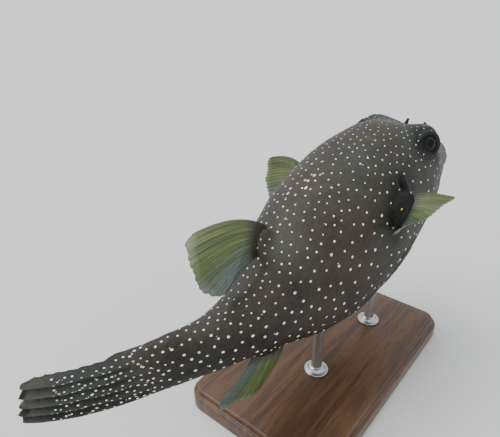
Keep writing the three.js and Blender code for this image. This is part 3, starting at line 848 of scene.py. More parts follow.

# %% [markdown]
# ## Shades of the skin
# The ground colour isn't even. The back is a warm grey brown that turns grey-olive towards the head and
# almost black on the belly and the tail; the light back and the dark belly are partly the fish's own
# countershading and partly painted shade from the light above. Painted shade darkens the skin round the
# eyes, behind the gill openings and round the roots of the pectoral fins, and the tail fin's rolls carry
# painted light on their ridges and painted shade in their grooves. Each point gets two numbers, how light it
# is and how far it leans from brown to grey-olive, and the material mixes from them.

# %% Light and tone of each point
clouds = rough(skin_points, 24 * MM) + 0.5 * rough(skin_points, 10 * MM)
tail_fin = smooth(station_of, 1.02, 1.12)
# lighter on the back and darker towards the belly: partly the fish's own countershading, partly painted
# shade from the light above
light = 0.42 + 0.3 * rise_of + 0.2 * clouds
light -= 0.14 * smooth(station_of, 0.72, 0.95)
# painted shade round each eye, where it sits sunk in the flesh
light -= 0.48 * bump(eye_gap, 8 * MM, 8 * MM)
# painted shade in and behind the gill openings and round the roots of the pectoral fins, where the fins
# shade the body
light -= 0.5 * bump(gill_gap, 0, 13 * MM) + 0.42 * bump(lobe_gap, 0, 10 * MM)
# painted light on the ridges of the tail fin's rolls, strongest towards the finger tips, and painted shade
# in the grooves between them
light += tail_fin * (0.6 * (roll_of - 0.75) + 0.45 * smooth(station_of, 1.2, 1.28) * roll_of)
tone = 0.3 + 0.45 * (1 - smooth(station_of, 0.16, 0.36)) + 0.2 * rise_of
# round the pectoral roots the tone leans to grey-olive, the cold cast of the painted shade there
tone += 0.4 * rough(skin_points + 0.1, 30 * MM) + 0.4 * tail_fin + 0.5 * bump(lobe_gap, 0, 12 * MM)
attribute(skin, "light", np.clip(light, 0, 1))
attribute(skin, "tone", np.clip(tone, 0, 1))
attribute(skin, "smoothness", np.clip(bump(ahead, BEAK_DEPTH, 6 * MM) * (mouth_off < 14 * MM)
                                      + smooth(station_of, 1.0, 1.1), 0, 1))
print("light", light.min().round(2), "to", light.max().round(2))

# %% [markdown]
# ## Materials
# Each colour is written as a screen colour and turned to the linear value that the shader takes. One helper
# adds a node with its settings and links.


# %% Material helpers
def colour(hex_value):
    """A hex screen colour as the linear values a shader takes."""
    parts = [int(hex_value[i:i + 2], 16) / 255 for i in (1, 3, 5)]
    return tuple(c / 12.92 if c <= 0.04045 else ((c + 0.055) / 1.055) ** 2.4 for c in parts) + (1,)


def new_material(name):
    material = bpy.data.materials.new(name)
    material.use_nodes = True
    return material, material.node_tree.nodes["Principled BSDF"]


def node(material, kind, inputs=(), **settings):
    """Adds a node: settings by name, inputs as pairs of socket and a value or another node's output."""
    added = material.node_tree.nodes.new("ShaderNode" + kind)
    for name, value in settings.items():
        setattr(added, name, value)
    connect(material, added, inputs)
    return added


def connect(material, target, inputs):
    for socket, value in inputs:
        if isinstance(value, bpy.types.NodeSocket):
            material.node_tree.links.new(value, target.inputs[socket])
        else:
            target.inputs[socket].default_value = value


def dress(piece, material):
    piece.data.materials.clear()
    piece.data.materials.append(material)


print("material helpers ready")

# %% [markdown]
# ### Puffer skin
# The skin is scaleless but set with fine prickles about 1.6 mm apart, and wet, so it has a soft shine that
# breaks up over the prickles. The ground is mottled at three sizes: clouds, freckles and a fine grain of
# pigment cells. The spots are flat, opaque white, and the pigment round each is pushed together to a dark
# rim.

# %% Skin material
skin_look, shader = new_material("wet_prickled_puffer_skin")
place = node(skin_look, "TexCoord").outputs["Object"]
light_in = node(skin_look, "Attribute", attribute_name="light").outputs["Fac"]
tone_in = node(skin_look, "Attribute", attribute_name="tone").outputs["Fac"]
smooth_in = node(skin_look, "Attribute", attribute_name="smoothness").outputs["Fac"]
freckles = node(skin_look, "TexNoise", [("Vector", place), ("Scale", 1 / (4 * MM)), ("Detail", 4.0),
                                        ("Roughness", 0.62)]).outputs["Fac"]
grain = node(skin_look, "TexNoise", [("Vector", place), ("Scale", 1 / (1.1 * MM)),
                                     ("Detail", 2.0)]).outputs["Fac"]
prickles = node(skin_look, "TexVoronoi", [("Vector", place), ("Scale", 1 / (1.6 * MM))]).outputs["Distance"]

mottled = node(skin_look, "Math", [(0, freckles), (1, 0.7), (2, -0.35)], operation="MULTIPLY_ADD").outputs[0]
lit = node(skin_look, "Math", [(0, light_in), (1, mottled)], operation="ADD").outputs[0]
grained = node(skin_look, "Math", [(0, grain), (1, 0.5), (2, -0.25)], operation="MULTIPLY_ADD").outputs[0]
shade = node(skin_look, "Math", [(0, lit), (1, grained)], operation="ADD", use_clamp=True).outputs[0]
# A Mix node's colour sockets are numbers 6 and 7, and its colour result is output 2.
brown = node(skin_look, "Mix", [(0, shade), (6, colour("#1a1311")), (7, colour("#54443a"))],
             data_type="RGBA").outputs[2]
olive = node(skin_look, "Mix", [(0, shade), (6, colour("#151917")), (7, colour("#4b504b"))],
             data_type="RGBA").outputs[2]
ground = node(skin_look, "Mix", [(0, tone_in), (6, brown), (7, olive)], data_type="RGBA").outputs[2]
print("skin ground colours mixed")

# %% Spots, rims and prickles
nearest = 8.0
for layer in range(LAYERS):
    offset = node(skin_look, "Attribute", attribute_name=f"spot_offset_{layer}").outputs["Vector"]
    hold = node(skin_look, "Attribute", attribute_name=f"spot_hold_{layer}").outputs["Fac"]
    length = node(skin_look, "VectorMath", [(0, offset)], operation="LENGTH").outputs["Value"]
    away = node(skin_look, "Math", [(0, length), (1, hold)], operation="MAXIMUM").outputs[0]
    nearest = node(skin_look, "Math", [(0, nearest), (1, away)], operation="MINIMUM").outputs[0]
reach = node(skin_look, "Math", [(0, grain), (1, 0.5), (2, nearest)], operation="MULTIPLY_ADD").outputs[0]
in_spot = node(skin_look, "MapRange", [("Value", reach), ("From Min", 1.37), ("From Max", 1.11)],
               interpolation_type="SMOOTHSTEP").outputs["Result"]
in_rim = node(skin_look, "MapRange", [("Value", reach), ("From Min", 2.2), ("From Max", 1.3),
                                      ("To Max", 0.5)],
              interpolation_type="SMOOTHSTEP").outputs["Result"]
rimmed = node(skin_look, "Mix", [(0, in_rim), (6, ground), (7, colour("#15100f"))],
              data_type="RGBA").outputs[2]
yellow_in = node(skin_look, "Attribute", attribute_name="yellowness").outputs["Fac"]
spot_paint = node(skin_look, "Mix", [(0, yellow_in), (6, colour("#f6f8f4")), (7, colour("#c8ab2c"))],
                  data_type="RGBA").outputs[2]
spotted = node(skin_look, "Mix", [(0, in_spot), (6, rimmed), (7, spot_paint)],
               data_type="RGBA").outputs[2]
prickly = node(skin_look, "Math", [(0, smooth_in), (1, -0.85), (2, 1.0)],
               operation="MULTIPLY_ADD").outputs[0]
raised = node(skin_look, "MapRange", [("Value", prickles), ("From Min", 0.55), ("From Max", 0.0)],
              interpolation_type="SMOOTHSTEP").outputs["Result"]
prickled = node(skin_look, "Math", [(0, raised), (1, prickly)], operation="MULTIPLY").outputs[0]
relief = node(skin_look, "Math", [(0, grain), (1, 0.5), (2, prickled)], operation="MULTIPLY_ADD").outputs[0]
bumped = node(skin_look, "Bump", [("Strength", 0.7), ("Distance", 0.16 * MM), ("Height", relief)])
shine = node(skin_look, "MapRange", [("Value", freckles), ("To Min", 0.45),
                                     ("To Max", 0.7)]).outputs["Result"]
connect(skin_look, shader, [("Base Color", spotted), ("Roughness", shine), ("Normal", bumped.outputs[0]),
                            ("Coat Weight", 0.04), ("Coat Roughness", 0.3), ("IOR", 1.35),
                            ("Specular IOR Level", 0.35)])
dress(skin, skin_look)
pick(skin)
bpy.ops.object.shade_smooth()
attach(skin, "root")
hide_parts("head", "trunk", "tail_stalk", "tail_fin")
print("skin dressed:", len(skin.data.polygons), "faces")

# %% [markdown]
# ## Fins
# Each fin is a thin membrane between bony rays that fork towards its edge. A flat grid is given a thickness
# with Solidify while it is still flat, so that every point knows its ray, its share of the way out and its
# side. Then it is laid on the fin's plan, thicker over the rays, rippled, and ragged at the edge.

# %% Fin shapes
FIN_RAYS = {"dorsal_fin": 11, "anal_fin": 10, "pectoral_fin_right": 16, "pectoral_fin_left": 16}
MEMBRANE = 0.45 * MM
RAY_HEIGHT = 0.3 * MM
POINTS_PER_RAY = 12


def ray_share(u, v, rays):
    """1 on a ray and 0 between two; each ray forks on its way out, and each branch once more."""
    apart = np.abs(u * rays - 0.5 - np.round(u * rays - 0.5))
    apart = np.abs(apart - 0.25 * smooth(v, 0.35, 0.75))
    return bump(np.abs(apart - 0.11 * smooth(v, 0.65, 1.0)), 0, 0.085)


def make_fin(name, ripple, frayed, corner=0.0):
    fin, rays = FINS[name], FIN_RAYS[name]
    start()
    bpy.ops.mesh.primitive_grid_add(x_subdivisions=rays * POINTS_PER_RAY, y_subdivisions=56, size=1)
    piece = bpy.context.object
    piece.name = name + "_rayed"
    finish_with(piece, "SOLIDIFY", thickness=1.0, offset=0)
    flat = points(piece)
    u, out = flat[:, 0] + 0.5, flat[:, 1] + 0.5
    side = np.where(flat[:, 2] > 0, 1, -1)
    along_edge = np.stack((u * rays * 0.9, 0 * u, 0 * u), -1)
    ragged = 0.5 + 0.5 * rough(along_edge, 1.0)
    scallop = np.abs(np.sin(np.pi * u * rays)) ** 0.7
    end = 1.03 - frayed * (0.7 * ragged + 0.3 * (1 - scallop)) + corner * bump(u, 0.03, 0.1)
    end -= 0.09 * bump(u, 1, 0.07) + 0.07 * bump(u, 0, 0.05)
    v = fin["lobe"] - 0.12 + out * (end - fin["lobe"] + 0.12)
    ray = ray_share(u, v, rays)
    thick = MEMBRANE * (1 - 0.5 * smooth(v, 0.6, 1)) + RAY_HEIGHT * ray * (1 - 0.75 * smooth(v, 0.4, 1))
    rim = np.minimum(1, np.minimum(u, 1 - u) * 22 + 0.35) * np.minimum(1, (1 - out) * 14 + 0.35)
    wave = ripple * v ** 2 * np.sin(2 * np.pi * (1.6 * u + 0.35 * v) + rays)
    pleat = 0.22 * MM * smooth(v, 0.35, 1) * np.cos(2 * np.pi * u * rays)
    lift = wave + pleat + side * thick * rim / 2
    move_points(piece, to_world(fin_at(fin, u, v) + fin_out(fin, u, v) * lift[:, None]))
    face_out(piece)
    attribute(piece, "ray", ray)
    attribute(piece, "reach", v)
    attribute(piece, "across", u)
    pick(piece)
    bpy.ops.object.shade_smooth()
    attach(piece, "root")
    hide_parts(name)
    return piece


fin_pieces = {
    "dorsal_fin": make_fin("dorsal_fin", 1.2 * MM, 0.04, 0.055),
    "anal_fin": make_fin("anal_fin", 1.0 * MM, 0.05),
    "pectoral_fin_right": make_fin("pectoral_fin_right", 1.0 * MM, 0.04),
    "pectoral_fin_left": make_fin("pectoral_fin_left", 1.0 * MM, 0.04),
}
print("fins:", {name: len(piece.data.polygons) for name, piece in fin_pieces.items()})

# %% [markdown]
# ### Fin membrane
# The rays are dark and the skin between them is thin and lets light through. Near the front of a fin it is
# olive green, towards the back it fades to a pale blue grey, a painted highlight where the membrane also
# grows clearer, and the very edge is pale. The foot of a fin is covered with the same dark skin as the body,
# so the membrane starts dark there.

# %% Fin material
fin_look, shader = new_material("rayed_fin_membrane")
place = node(fin_look, "TexCoord").outputs["Object"]
ray_in = node(fin_look, "Attribute", attribute_name="ray").outputs["Fac"]
reach_in = node(fin_look, "Attribute", attribute_name="reach").outputs["Fac"]
across_in = node(fin_look, "Attribute", attribute_name="across").outputs["Fac"]
blotch = node(fin_look, "TexNoise", [("Vector", place), ("Scale", 1 / (9 * MM)),
                                     ("Detail", 4.0)]).outputs["Fac"]
fleck = node(fin_look, "TexNoise", [("Vector", place), ("Scale", 1 / (1.2 * MM)),
                                    ("Detail", 2.0)]).outputs["Fac"]
behind = node(fin_look, "Math", [(0, blotch), (1, 0.5), (2, across_in)], operation="MULTIPLY_ADD").outputs[0]
fading = node(fin_look, "MapRange", [("Value", behind), ("From Min", 0.62), ("From Max", 1.28)],
              interpolation_type="SMOOTHSTEP").outputs["Result"]
# streaks of yellow green run out along the rays; the fin's own coordinates carry them
along_rays = node(fin_look, "CombineXYZ", [("X", across_in), ("Y", reach_in)]).outputs["Vector"]
drawn = node(fin_look, "Mapping", [("Vector", along_rays), ("Scale", (9.0, 0.9, 1.0))]).outputs["Vector"]
streak = node(fin_look, "TexNoise", [("Vector", drawn), ("Scale", 1.0), ("Detail", 3.0)]).outputs["Fac"]
streaked = node(fin_look, "MapRange", [("Value", streak), ("From Min", 0.4), ("From Max", 0.62)],
                interpolation_type="SMOOTHSTEP").outputs["Result"]
olive_skin = node(fin_look, "Mix", [(0, streaked), (6, colour("#505a37")), (7, colour("#6f793f"))],
                  data_type="RGBA").outputs[2]
# the pale blue grey towards the back of a fin is a painted highlight
membrane = node(fin_look, "Mix", [(0, fading), (6, olive_skin), (7, colour("#5c6c6c"))],
                data_type="RGBA").outputs[2]
flecked = node(fin_look, "MapRange", [("Value", fleck), ("From Min", 0.35), ("From Max", 0.75),
                                      ("To Max", 0.35)]).outputs["Result"]
speckled = node(fin_look, "Mix", [(0, flecked), (6, membrane), (7, colour("#3d432b"))],
                data_type="RGBA").outputs[2]
ray_dark = node(fin_look, "MapRange", [("Value", ray_in), ("From Min", 0.2), ("From Max", 0.9),
                                       ("To Max", 0.6)]).outputs["Result"]
rayed = node(fin_look, "Mix", [(0, ray_dark), (6, speckled), (7, colour("#2c301f"))],
             data_type="RGBA").outputs[2]
foot_dark = node(fin_look, "MapRange", [("Value", reach_in), ("From Min", 0.48), ("From Max", 0.2)],
                 interpolation_type="SMOOTHSTEP").outputs["Result"]
footed = node(fin_look, "Mix", [(0, foot_dark), (6, rayed), (7, colour("#2a2520"))],
              data_type="RGBA").outputs[2]
tip_pale = node(fin_look, "MapRange", [("Value", reach_in), ("From Min", 0.93), ("From Max", 1.0),
                                       ("To Max", 0.3)]).outputs["Result"]
edged = node(fin_look, "Mix", [(0, tip_pale), (6, footed), (7, colour("#93a288"))],
             data_type="RGBA").outputs[2]
clear = node(fin_look, "Math", [(0, fading), (1, -0.2), (2, 0.95)], operation="MULTIPLY_ADD").outputs[0]
solid = node(fin_look, "Math", [(0, clear), (1, ray_dark)], operation="MAXIMUM").outputs[0]
opaque = node(fin_look, "Math", [(0, solid), (1, foot_dark)], operation="MAXIMUM").outputs[0]
creased = node(fin_look, "Bump", [("Strength", 0.4), ("Distance", 0.1 * MM), ("Height", fleck)])
connect(fin_look, shader, [("Base Color", edged), ("Alpha", opaque), ("Roughness", 0.42), ("IOR", 1.4),
                           ("Normal", creased.outputs[0]), ("Coat Weight", 0.1), ("Coat Roughness", 0.25)])
for piece in fin_pieces.values():
    dress(piece, fin_look)
print("fins dressed")

# %% [markdown]
# ## Eyes
# A puffer's eye is a large ball that looks to the side. The pupil is a deep blue black, with a thin gold
# ring round it, and the iris is dark brown with gold flecks. All of it lies under a clear, domed cornea,
# which the shader's coat gives. The ball is a sphere whose front is drawn out a little into the cornea's
# dome.

# %% Eyeballs
PUPIL = 3.3  # mm
IRIS = 6.6
CORNEA_RISE = 0.7 * MM
CORNEA_SPREAD = 4.6 * MM


def make_eye(side):
    centre, gaze = eye_places[side]
    start()
    bpy.ops.mesh.primitive_uv_sphere_add(segments=64, ring_count=48, radius=EYE_RADIUS - 0.1 * MM)
    eye = bpy.context.object
    eye.name = f"eye_{side}_ball"
    co = points(eye)
    off_axis = np.hypot(co[:, 0], co[:, 1])
    front = co[:, 2] > 0
    co[:, 2] += CORNEA_RISE * front * bump(off_axis, 0, CORNEA_SPREAD)
    attribute(eye, "off_axis", np.where(front, off_axis, 20 * MM) / MM)
    attribute(eye, "round_x", co[:, 0] / np.maximum(off_axis, 1e-6))
    attribute(eye, "round_y", co[:, 1] / np.maximum(off_axis, 1e-6))
    move_points(eye, co @ np.array(turn_to(gaze)).T + centre)
    bpy.ops.object.shade_smooth()
    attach(eye, "root")
    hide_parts(f"eye_{side}")
    return eye


eyes = [make_eye(side) for side in SIDES]
print("eyes:", len(eyes))

# %% Eye material
eye_look, shader = new_material("wet_fish_eye")
off_in = node(eye_look, "Attribute", attribute_name="off_axis").outputs["Fac"]
round_x = node(eye_look, "Attribute", attribute_name="round_x").outputs["Fac"]
round_y = node(eye_look, "Attribute", attribute_name="round_y").outputs["Fac"]
place = node(eye_look, "TexCoord").outputs["Object"]
spun = node(eye_look, "CombineXYZ", [("X", round_x), ("Y", round_y)]).outputs["Vector"]
fibres = node(eye_look, "TexNoise", [("Vector", spun), ("Scale", 9.0), ("Detail", 4.0)]).outputs["Fac"]
dust = node(eye_look, "TexNoise", [("Vector", place), ("Scale", 1 / (0.5 * MM)),
                                   ("Detail", 3.0)]).outputs["Fac"]
streaked = node(eye_look, "Math", [(0, fibres), (1, dust)], operation="MULTIPLY").outputs[0]
flecks = node(eye_look, "MapRange", [("Value", streaked), ("From Min", 0.24), ("From Max", 0.42)],
              interpolation_type="SMOOTHSTEP").outputs["Result"]
iris = node(eye_look, "Mix", [(0, flecks), (6, colour("#15100e")), (7, colour("#43321f"))],
            data_type="RGBA").outputs[2]
blur = node(eye_look, "Math", [(0, fibres), (1, 0.5), (2, off_in)], operation="MULTIPLY_ADD").outputs[0]
ring_in = node(eye_look, "MapRange", [("Value", blur), ("From Min", PUPIL + 0.62),
                                      ("From Max", PUPIL + 0.42)],
               interpolation_type="SMOOTHSTEP").outputs["Result"]
ringed = node(eye_look, "Mix", [(0, ring_in), (6, iris), (7, colour("#4f4029"))],
              data_type="RGBA").outputs[2]
pupil_in = node(eye_look, "MapRange", [("Value", off_in), ("From Min", PUPIL + 0.12),
                                       ("From Max", PUPIL - 0.05)],
                interpolation_type="SMOOTHSTEP").outputs["Result"]
pupilled = node(eye_look, "Mix", [(0, pupil_in), (6, ringed), (7, colour("#05070c"))],
                data_type="RGBA").outputs[2]
white_in = node(eye_look, "MapRange", [("Value", blur), ("From Min", IRIS), ("From Max", IRIS + 0.7)],
                interpolation_type="SMOOTHSTEP").outputs["Result"]
whole_eye = node(eye_look, "Mix", [(0, white_in), (6, pupilled), (7, colour("#15110f"))],
                 data_type="RGBA").outputs[2]
connect(eye_look, shader, [("Base Color", whole_eye), ("Roughness", 0.3), ("Coat Weight", 0.45),
                           ("Coat Roughness", 0.03), ("Coat IOR", 1.34), ("IOR", 1.34),
                           ("Specular IOR Level", 0.1)])
for eye in eyes:
    dress(eye, eye_look)
print("eyes dressed")

# %% [markdown]
# ## Beak
# A puffer has four teeth grown together to a beak: two plates above and two below, with a groove between the
# two of each jaw. Each jaw starts as a sphere, is stretched to the beak's size and cut along the bite with
# bisect. The plates are then pinched at the middle groove and their biting edge is worn uneven.

# %% Beak plates
BITE = 1.3 * MM  # the gap between the jaws
SUTURE_DEPTH, SUTURE_WIDTH = 0.55 * MM, 0.5 * MM


def make_beak(name, up):
    start()
    bpy.ops.mesh.primitive_uv_sphere_add(segments=96, ring_count=64, radius=1)
    jaw = bpy.context.object
    jaw.name = name + "_plates"
    wide = np.array((BEAK_HALF_WIDTH, BEAK_HALF_HEIGHT, BEAK_DEPTH)) - 0.05 * MM
    move_points(jaw, points(jaw)[:, [0, 2, 1]] * (1, 1, -1) * wide)
    bpy.ops.object.mode_set(mode="EDIT")
    bpy.ops.mesh.select_all(action="SELECT")
    bpy.ops.mesh.bisect(plane_co=(0, up * BITE / 2, 0), plane_no=(0, up, 0), use_fill=True, clear_inner=True)
    bpy.ops.object.mode_set(mode="OBJECT")
    finish_with(jaw, "REMESH", mode="VOXEL", voxel_size=0.22 * MM)
    finish_with(jaw, "SMOOTH", factor=0.5, iterations=3)
    co = points(jaw)
    front = smooth(co[:, 2], 0, 5 * MM)
    groove = SUTURE_DEPTH * bump(co[:, 0], 0, SUTURE_WIDTH) * front
    co *= (1 - groove / np.maximum(np.linalg.norm(co, axis=1), MM))[:, None]
    worn = 0.35 * MM * rough(co * (1, 0, 0.3), 2.2 * MM) * bump(co[:, 1], up * BITE / 2, 0.8 * MM)
    co[:, 1] += up * np.abs(worn) * front
    move_points(jaw, co @ mouth_turn.T + mouth_middle)
    face_out(jaw)
    pick(jaw)
    bpy.ops.object.shade_smooth()
    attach(jaw, "root")
    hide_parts(name)
    return jaw


beaks = [make_beak("beak_upper", 1), make_beak("beak_lower", -1)]
print("beak:", [len(jaw.data.polygons) for jaw in beaks])

# %% Beak material
beak_look, shader = new_material("worn_tooth_ivory")
place = node(beak_look, "TexCoord").outputs["Object"]
stain = node(beak_look, "TexNoise", [("Vector", place), ("Scale", 1 / (2.5 * MM)),
                                     ("Detail", 5.0)]).outputs["Fac"]
stained = node(beak_look, "MapRange", [("Value", stain), ("From Min", 0.4),
                                       ("From Max", 0.75)]).outputs["Result"]
ivory = node(beak_look, "Mix", [(0, stained), (6, colour("#ddd0b0")), (7, colour("#8d7a55"))],
             data_type="RGBA").outputs[2]
fine = node(beak_look, "TexNoise", [("Vector", place), ("Scale", 1 / (0.4 * MM))]).outputs["Fac"]
etched = node(beak_look, "Bump", [("Strength", 0.3), ("Distance", 0.05 * MM), ("Height", fine)])
connect(beak_look, shader, [("Base Color", ivory), ("Roughness", 0.3), ("Normal", etched.outputs[0]),
                            ("Coat Weight", 0.4), ("Coat Roughness", 0.1)])
for jaw in beaks:
    dress(jaw, beak_look)
print("beak dressed")

# %% [markdown]
# ## Nostril flaps
# A puffer of this kind has no nostril holes but a short flap of skin before each eye, forked in two. Each
# is made of three stretched spheres, a stalk and two tips, joined, remeshed to one soft shape and smoothed.
# Their material is the skin's, so they carry its attributes too, all saying that no spot is near.


# %% Forked flaps
def stretched_sphere(centre, turn, half_sizes):
    start()
    bpy.ops.mesh.primitive_uv_sphere_add(segments=32, ring_count=24, radius=1)
    made = bpy.context.object
    move_points(made, points(made) * half_sizes @ np.array(turn).T + centre)
    return made


def make_flap(side, mirrored):
    foot = to_world(skin_at(NOSTRIL_STATION, mirrored(NOSTRIL_ANGLE)))
    out = world_way(out_at(NOSTRIL_STATION, mirrored(NOSTRIL_ANGLE)))
    back = world_way(axes_at(NOSTRIL_STATION)[0])
    height = NOSTRIL_HEIGHT
    parts = [stretched_sphere(foot + out * height * 0.2, turn_to(out, back),
                              np.array((1.5, 2.0, 0.45 * height / MM)) * MM)]
    for lean in (-1, 1):
        way = unit(out + 0.4 * lean * back)
        middle = foot + out * height * 0.35 + way * height * 0.3
        tip = np.array((0.9, 1.3, 0.34 * height / MM)) * MM
        parts.append(stretched_sphere(middle, turn_to(way, back), tip))
    start()
    for part in parts:
        part.select_set(True)
    bpy.context.view_layer.objects.active = parts[0]
    bpy.ops.object.join()
    flap = bpy.context.object
    flap.name = f"nostril_flap_{side}"
    finish_with(flap, "REMESH", mode="VOXEL", voxel_size=0.2 * MM)
    finish_with(flap, "SMOOTH", factor=0.5, iterations=6)
    count = len(flap.data.vertices)
    for layer in range(LAYERS):
        attribute(flap, f"spot_offset_{layer}", np.full((count, 3), 8.0))
        attribute(flap, f"spot_hold_{layer}", np.full(count, 8.0))
    attribute(flap, "light", np.full(count, 0.4))
    attribute(flap, "tone", np.full(count, 0.6))
    attribute(flap, "smoothness", np.full(count, 1.0))
    attribute(flap, "yellowness", np.zeros(count))
    dress(flap, skin_look)
    pick(flap)
    bpy.ops.object.shade_smooth()
    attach(flap, "root")
    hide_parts(f"nasal_tentacle_{side}")
    return flap


flaps = [make_flap(side, mirrored) for side, mirrored in SIDES.items()]
print("nostril flaps:", [len(flap.data.polygons) for flap in flaps])

# %% [markdown]
# ## Display stand
# The base is a board of dark walnut with rounded corners and a small step worked round its top. It starts
# as a cube: the upright edges are bevelled, the top is inset and extruded for the step, and a Bevel
# modifier breaks the remaining edges. Two steel rods stand in turned collars and carry the fish in shallow
# cups.

# %% Choose faces or edges
def choose(piece, kind, wanted):
    """In edit mode, selects the faces or edges that pass the test, and nothing else."""
    bpy.ops.mesh.select_all(action="DESELECT")
    for part in getattr(bmesh.from_edit_mesh(piece.data), kind):
        if wanted(part):
            part.select_set(True)


# %% Base board
board_low, board_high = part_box("stand_base")
CORNER = 14 * MM
STEP_IN, STEP_UP = 3 * MM, 4.5 * MM
EDGE_ROUND = 1.2 * MM
start()
bpy.ops.mesh.primitive_cube_add(size=1)
board = bpy.context.object
board.name = "stand_base_board"
span = np.array(board_high) - np.array(board_low)
lower = np.array((span[0], span[1], span[2] - STEP_UP))
move_points(board, (points(board) + 0.5) * lower + np.array(board_low))
bpy.ops.object.mode_set(mode="EDIT")
choose(board, "edges", lambda edge: abs(edge.verts[0].co.z - edge.verts[1].co.z) > MM)
bpy.ops.mesh.bevel(offset=CORNER, segments=12, affect="EDGES")
choose(board, "faces", lambda face: face.normal.z > 0.9)
bpy.ops.mesh.inset(thickness=STEP_IN)
bpy.ops.mesh.extrude_region_move(TRANSFORM_OT_translate={"value": (0, 0, STEP_UP)})
bpy.ops.object.mode_set(mode="OBJECT")
finish_with(board, "BEVEL", width=EDGE_ROUND, segments=4, limit_method="ANGLE", angle_limit=math.radians(50))
pick(board)
bpy.ops.object.shade_smooth_by_angle(angle=math.radians(35))
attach(board, "root")
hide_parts("stand_base")
print("base:", (span / MM).round(), "mm")

# %% Walnut
wood_look, shader = new_material("oiled_dark_walnut")
place = node(wood_look, "TexCoord").outputs["Object"]
lengthwise = node(wood_look, "Mapping", [("Vector", place), ("Scale", (0.07, 1.0, 1.0))]).outputs["Vector"]
growth = node(wood_look, "TexNoise", [("Vector", lengthwise), ("Scale", 1 / (14 * MM)), ("Detail", 3.0),
                                      ("Distortion", 0.6)]).outputs["Fac"]
bands = node(wood_look, "Math", [(0, growth), (1, 26.0)], operation="MULTIPLY").outputs[0]
waves = node(wood_look, "Math", [(0, bands)], operation="SINE").outputs[0]
fibre = node(wood_look, "TexNoise", [("Vector", lengthwise), ("Scale", 1 / (1.1 * MM)), ("Detail", 4.0),
                                     ("Roughness", 0.7)]).outputs["Fac"]
pores = node(wood_look, "MapRange", [("Value", fibre), ("From Min", 0.42),
                                     ("From Max", 0.3)]).outputs["Result"]
grain_mix = node(wood_look, "MapRange", [("Value", waves), ("From Min", -1.0), ("From Max", 1.0),
                                         ("To Min", 0.25), ("To Max", 0.75)]).outputs["Result"]
varied = node(wood_look, "Math", [(0, fibre), (1, 0.8), (2, -0.4)], operation="MULTIPLY_ADD").outputs[0]
grained = node(wood_look, "Math", [(0, grain_mix), (1, varied)], operation="ADD", use_clamp=True).outputs[0]
brown_wood = node(wood_look, "Mix", [(0, grained), (6, colour("#3a2518")), (7, colour("#6d4a30"))],
                  data_type="RGBA").outputs[2]
pored = node(wood_look, "Mix", [(0, pores), (6, brown_wood), (7, colour("#21140d"))],
             data_type="RGBA").outputs[2]
wood_bump = node(wood_look, "Bump", [("Strength", 0.35), ("Distance", 0.12 * MM), ("Height", fibre)])
sheen = node(wood_look, "MapRange", [("Value", pores), ("To Min", 0.38), ("To Max", 0.6)]).outputs["Result"]
connect(wood_look, shader, [("Base Color", pored), ("Roughness", sheen), ("Normal", wood_bump.outputs[0]),
                            ("Coat Weight", 0.15), ("Coat Roughness", 0.25)])
dress(board, wood_look)
print("wood dressed")

# %% Rods, collars and cups
ROD_RADIUS = 4 * MM
COLLAR_RADIUS, COLLAR_HEIGHT = 9 * MM, 4 * MM
CUP_RADIUS, CUP_HEIGHT = 6.5 * MM, 5 * MM
ROUND = 64  # sides of a turned part


def turned(name, rings):
    """A turned metal part about the z axis, from rings of radius and height, bottom to top."""
    start()
    bpy.ops.mesh.primitive_cylinder_add(vertices=ROUND, radius=rings[0][0], depth=rings[1][1] - rings[0][1])
    made = bpy.context.object
    made.name = name
    co = points(made)
    low = co[:, 2] < 0
    radius = np.where(low, rings[0][0], rings[1][0])
    co[:, :2] *= (radius / np.hypot(co[:, 0], co[:, 1]))[:, None]
    co[:, 2] = np.where(low, rings[0][1], rings[1][1])
    move_points(made, co)
    bpy.ops.object.mode_set(mode="EDIT")
    for (before, below), (radius, height) in zip(rings[1:], rings[2:]):
        choose(made, "faces", lambda face: face.normal.z > 0.9 and len(face.verts) == ROUND)
        bpy.ops.mesh.extrude_region_move(TRANSFORM_OT_translate={"value": (0, 0, height - below)})
        bpy.ops.transform.resize(value=(radius / before, radius / before, 1), center_override=(0, 0, height))
    bpy.ops.object.mode_set(mode="OBJECT")
    return made


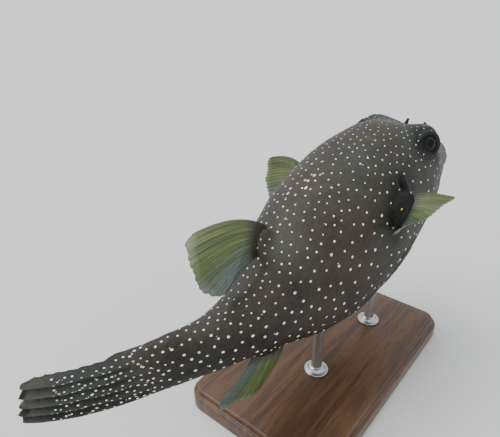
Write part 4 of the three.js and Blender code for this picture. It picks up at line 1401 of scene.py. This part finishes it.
def make_rod(name):
    low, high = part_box(name)
    x, y = (low[0] + high[0]) / 2, (low[1] + high[1]) / 2
    top = board_high[2]
    belly = skin.ray_cast(Vector((x, y, top)), Vector((0, 0, 1)))[1]
    cup = belly.z - CUP_HEIGHT * 0.35
    rod = turned(name + "_turned", [
        (ROD_RADIUS, low[2]), (ROD_RADIUS, top),
        (COLLAR_RADIUS, top + 0.001 * MM), (COLLAR_RADIUS, top + 1.6 * MM),
        (COLLAR_RADIUS * 0.72, top + 2.2 * MM), (COLLAR_RADIUS * 0.6, top + COLLAR_HEIGHT),
        (ROD_RADIUS, top + COLLAR_HEIGHT + 0.5 * MM), (ROD_RADIUS, cup - CUP_HEIGHT),
        (CUP_RADIUS * 0.8, cup - CUP_HEIGHT * 0.45), (CUP_RADIUS, cup), (CUP_RADIUS, cup + 1.5 * MM),
        (ROD_RADIUS * 0.9, cup + 2.2 * MM), (ROD_RADIUS * 0.9, high[2])])
    finish_with(rod, "BEVEL", width=0.35 * MM, segments=3, limit_method="ANGLE",
                angle_limit=math.radians(28))
    co = points(rod) + (x, y, 0)
    for i in np.flatnonzero(co[:, 2] > cup - CUP_HEIGHT):
        above = skin.ray_cast(Vector((*co[i, :2], top)), Vector((0, 0, 1)))[1]
        co[i, 2] += float(smooth(co[i, 2], cup - CUP_HEIGHT, cup)) * (above.z - belly.z)
    move_points(rod, co)
    face_out(rod)
    pick(rod)
    bpy.ops.object.shade_smooth_by_angle(angle=math.radians(30))
    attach(rod, "root")
    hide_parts(name)
    print(name, "carries the belly at", round(belly.z / MM, 1), "mm")
    return rod


rods = [make_rod("stand_rod_front"), make_rod("stand_rod_rear")]

# %% Brushed steel
steel_look, shader = new_material("brushed_stainless_steel")
place = node(steel_look, "TexCoord").outputs["Object"]
turned_lines = node(steel_look, "Mapping", [("Vector", place),
                                            ("Scale", (0.05, 0.05, 1.0))]).outputs["Vector"]
scratches = node(steel_look, "TexNoise", [("Vector", turned_lines), ("Scale", 1 / (0.25 * MM)),
                                          ("Detail", 3.0)]).outputs["Fac"]
worn_shine = node(steel_look, "MapRange", [("Value", scratches), ("To Min", 0.22), ("To Max", 0.42)])
lines = node(steel_look, "Bump", [("Strength", 0.25), ("Distance", 0.03 * MM), ("Height", scratches)])
connect(steel_look, shader, [("Base Color", colour("#c3c4c6")), ("Metallic", 1.0),
                             ("Roughness", worn_shine.outputs["Result"]), ("Normal", lines.outputs[0])])
for rod in rods:
    dress(rod, steel_look)
print("steel dressed")

# %% [markdown]
# ## Floor and light
# The model stands on a plain pale floor that is wide enough to fill the view. A broad, soft key light comes
# from above and from the fish's left, so the back is light and the lower right flank falls into shade. A
# pale sky all round fills the shadows.

# %% Floor and light
start()
bpy.ops.mesh.primitive_plane_add(size=60)
floor = bpy.context.object
floor.name = "floor"
floor_look, shader = new_material("matt_pale_paper")
connect(floor_look, shader, [("Base Color", colour("#e2e3e0")), ("Roughness", 0.9)])
dress(floor, floor_look)

bpy.ops.object.light_add(type="SUN", rotation=(math.radians(-24), math.radians(-20), 0))
key = bpy.context.object
key.name = "soft_key"
key.data.energy = 2.0
key.data.angle = math.radians(50)

sky = bpy.data.worlds.new("studio_sky")
bpy.context.scene.world = sky
sky.use_nodes = True
backdrop = sky.node_tree.nodes["Background"]
backdrop.inputs["Color"].default_value = colour("#e4e9ea")
backdrop.inputs["Strength"].default_value = 1.2
print("floor and light ready")
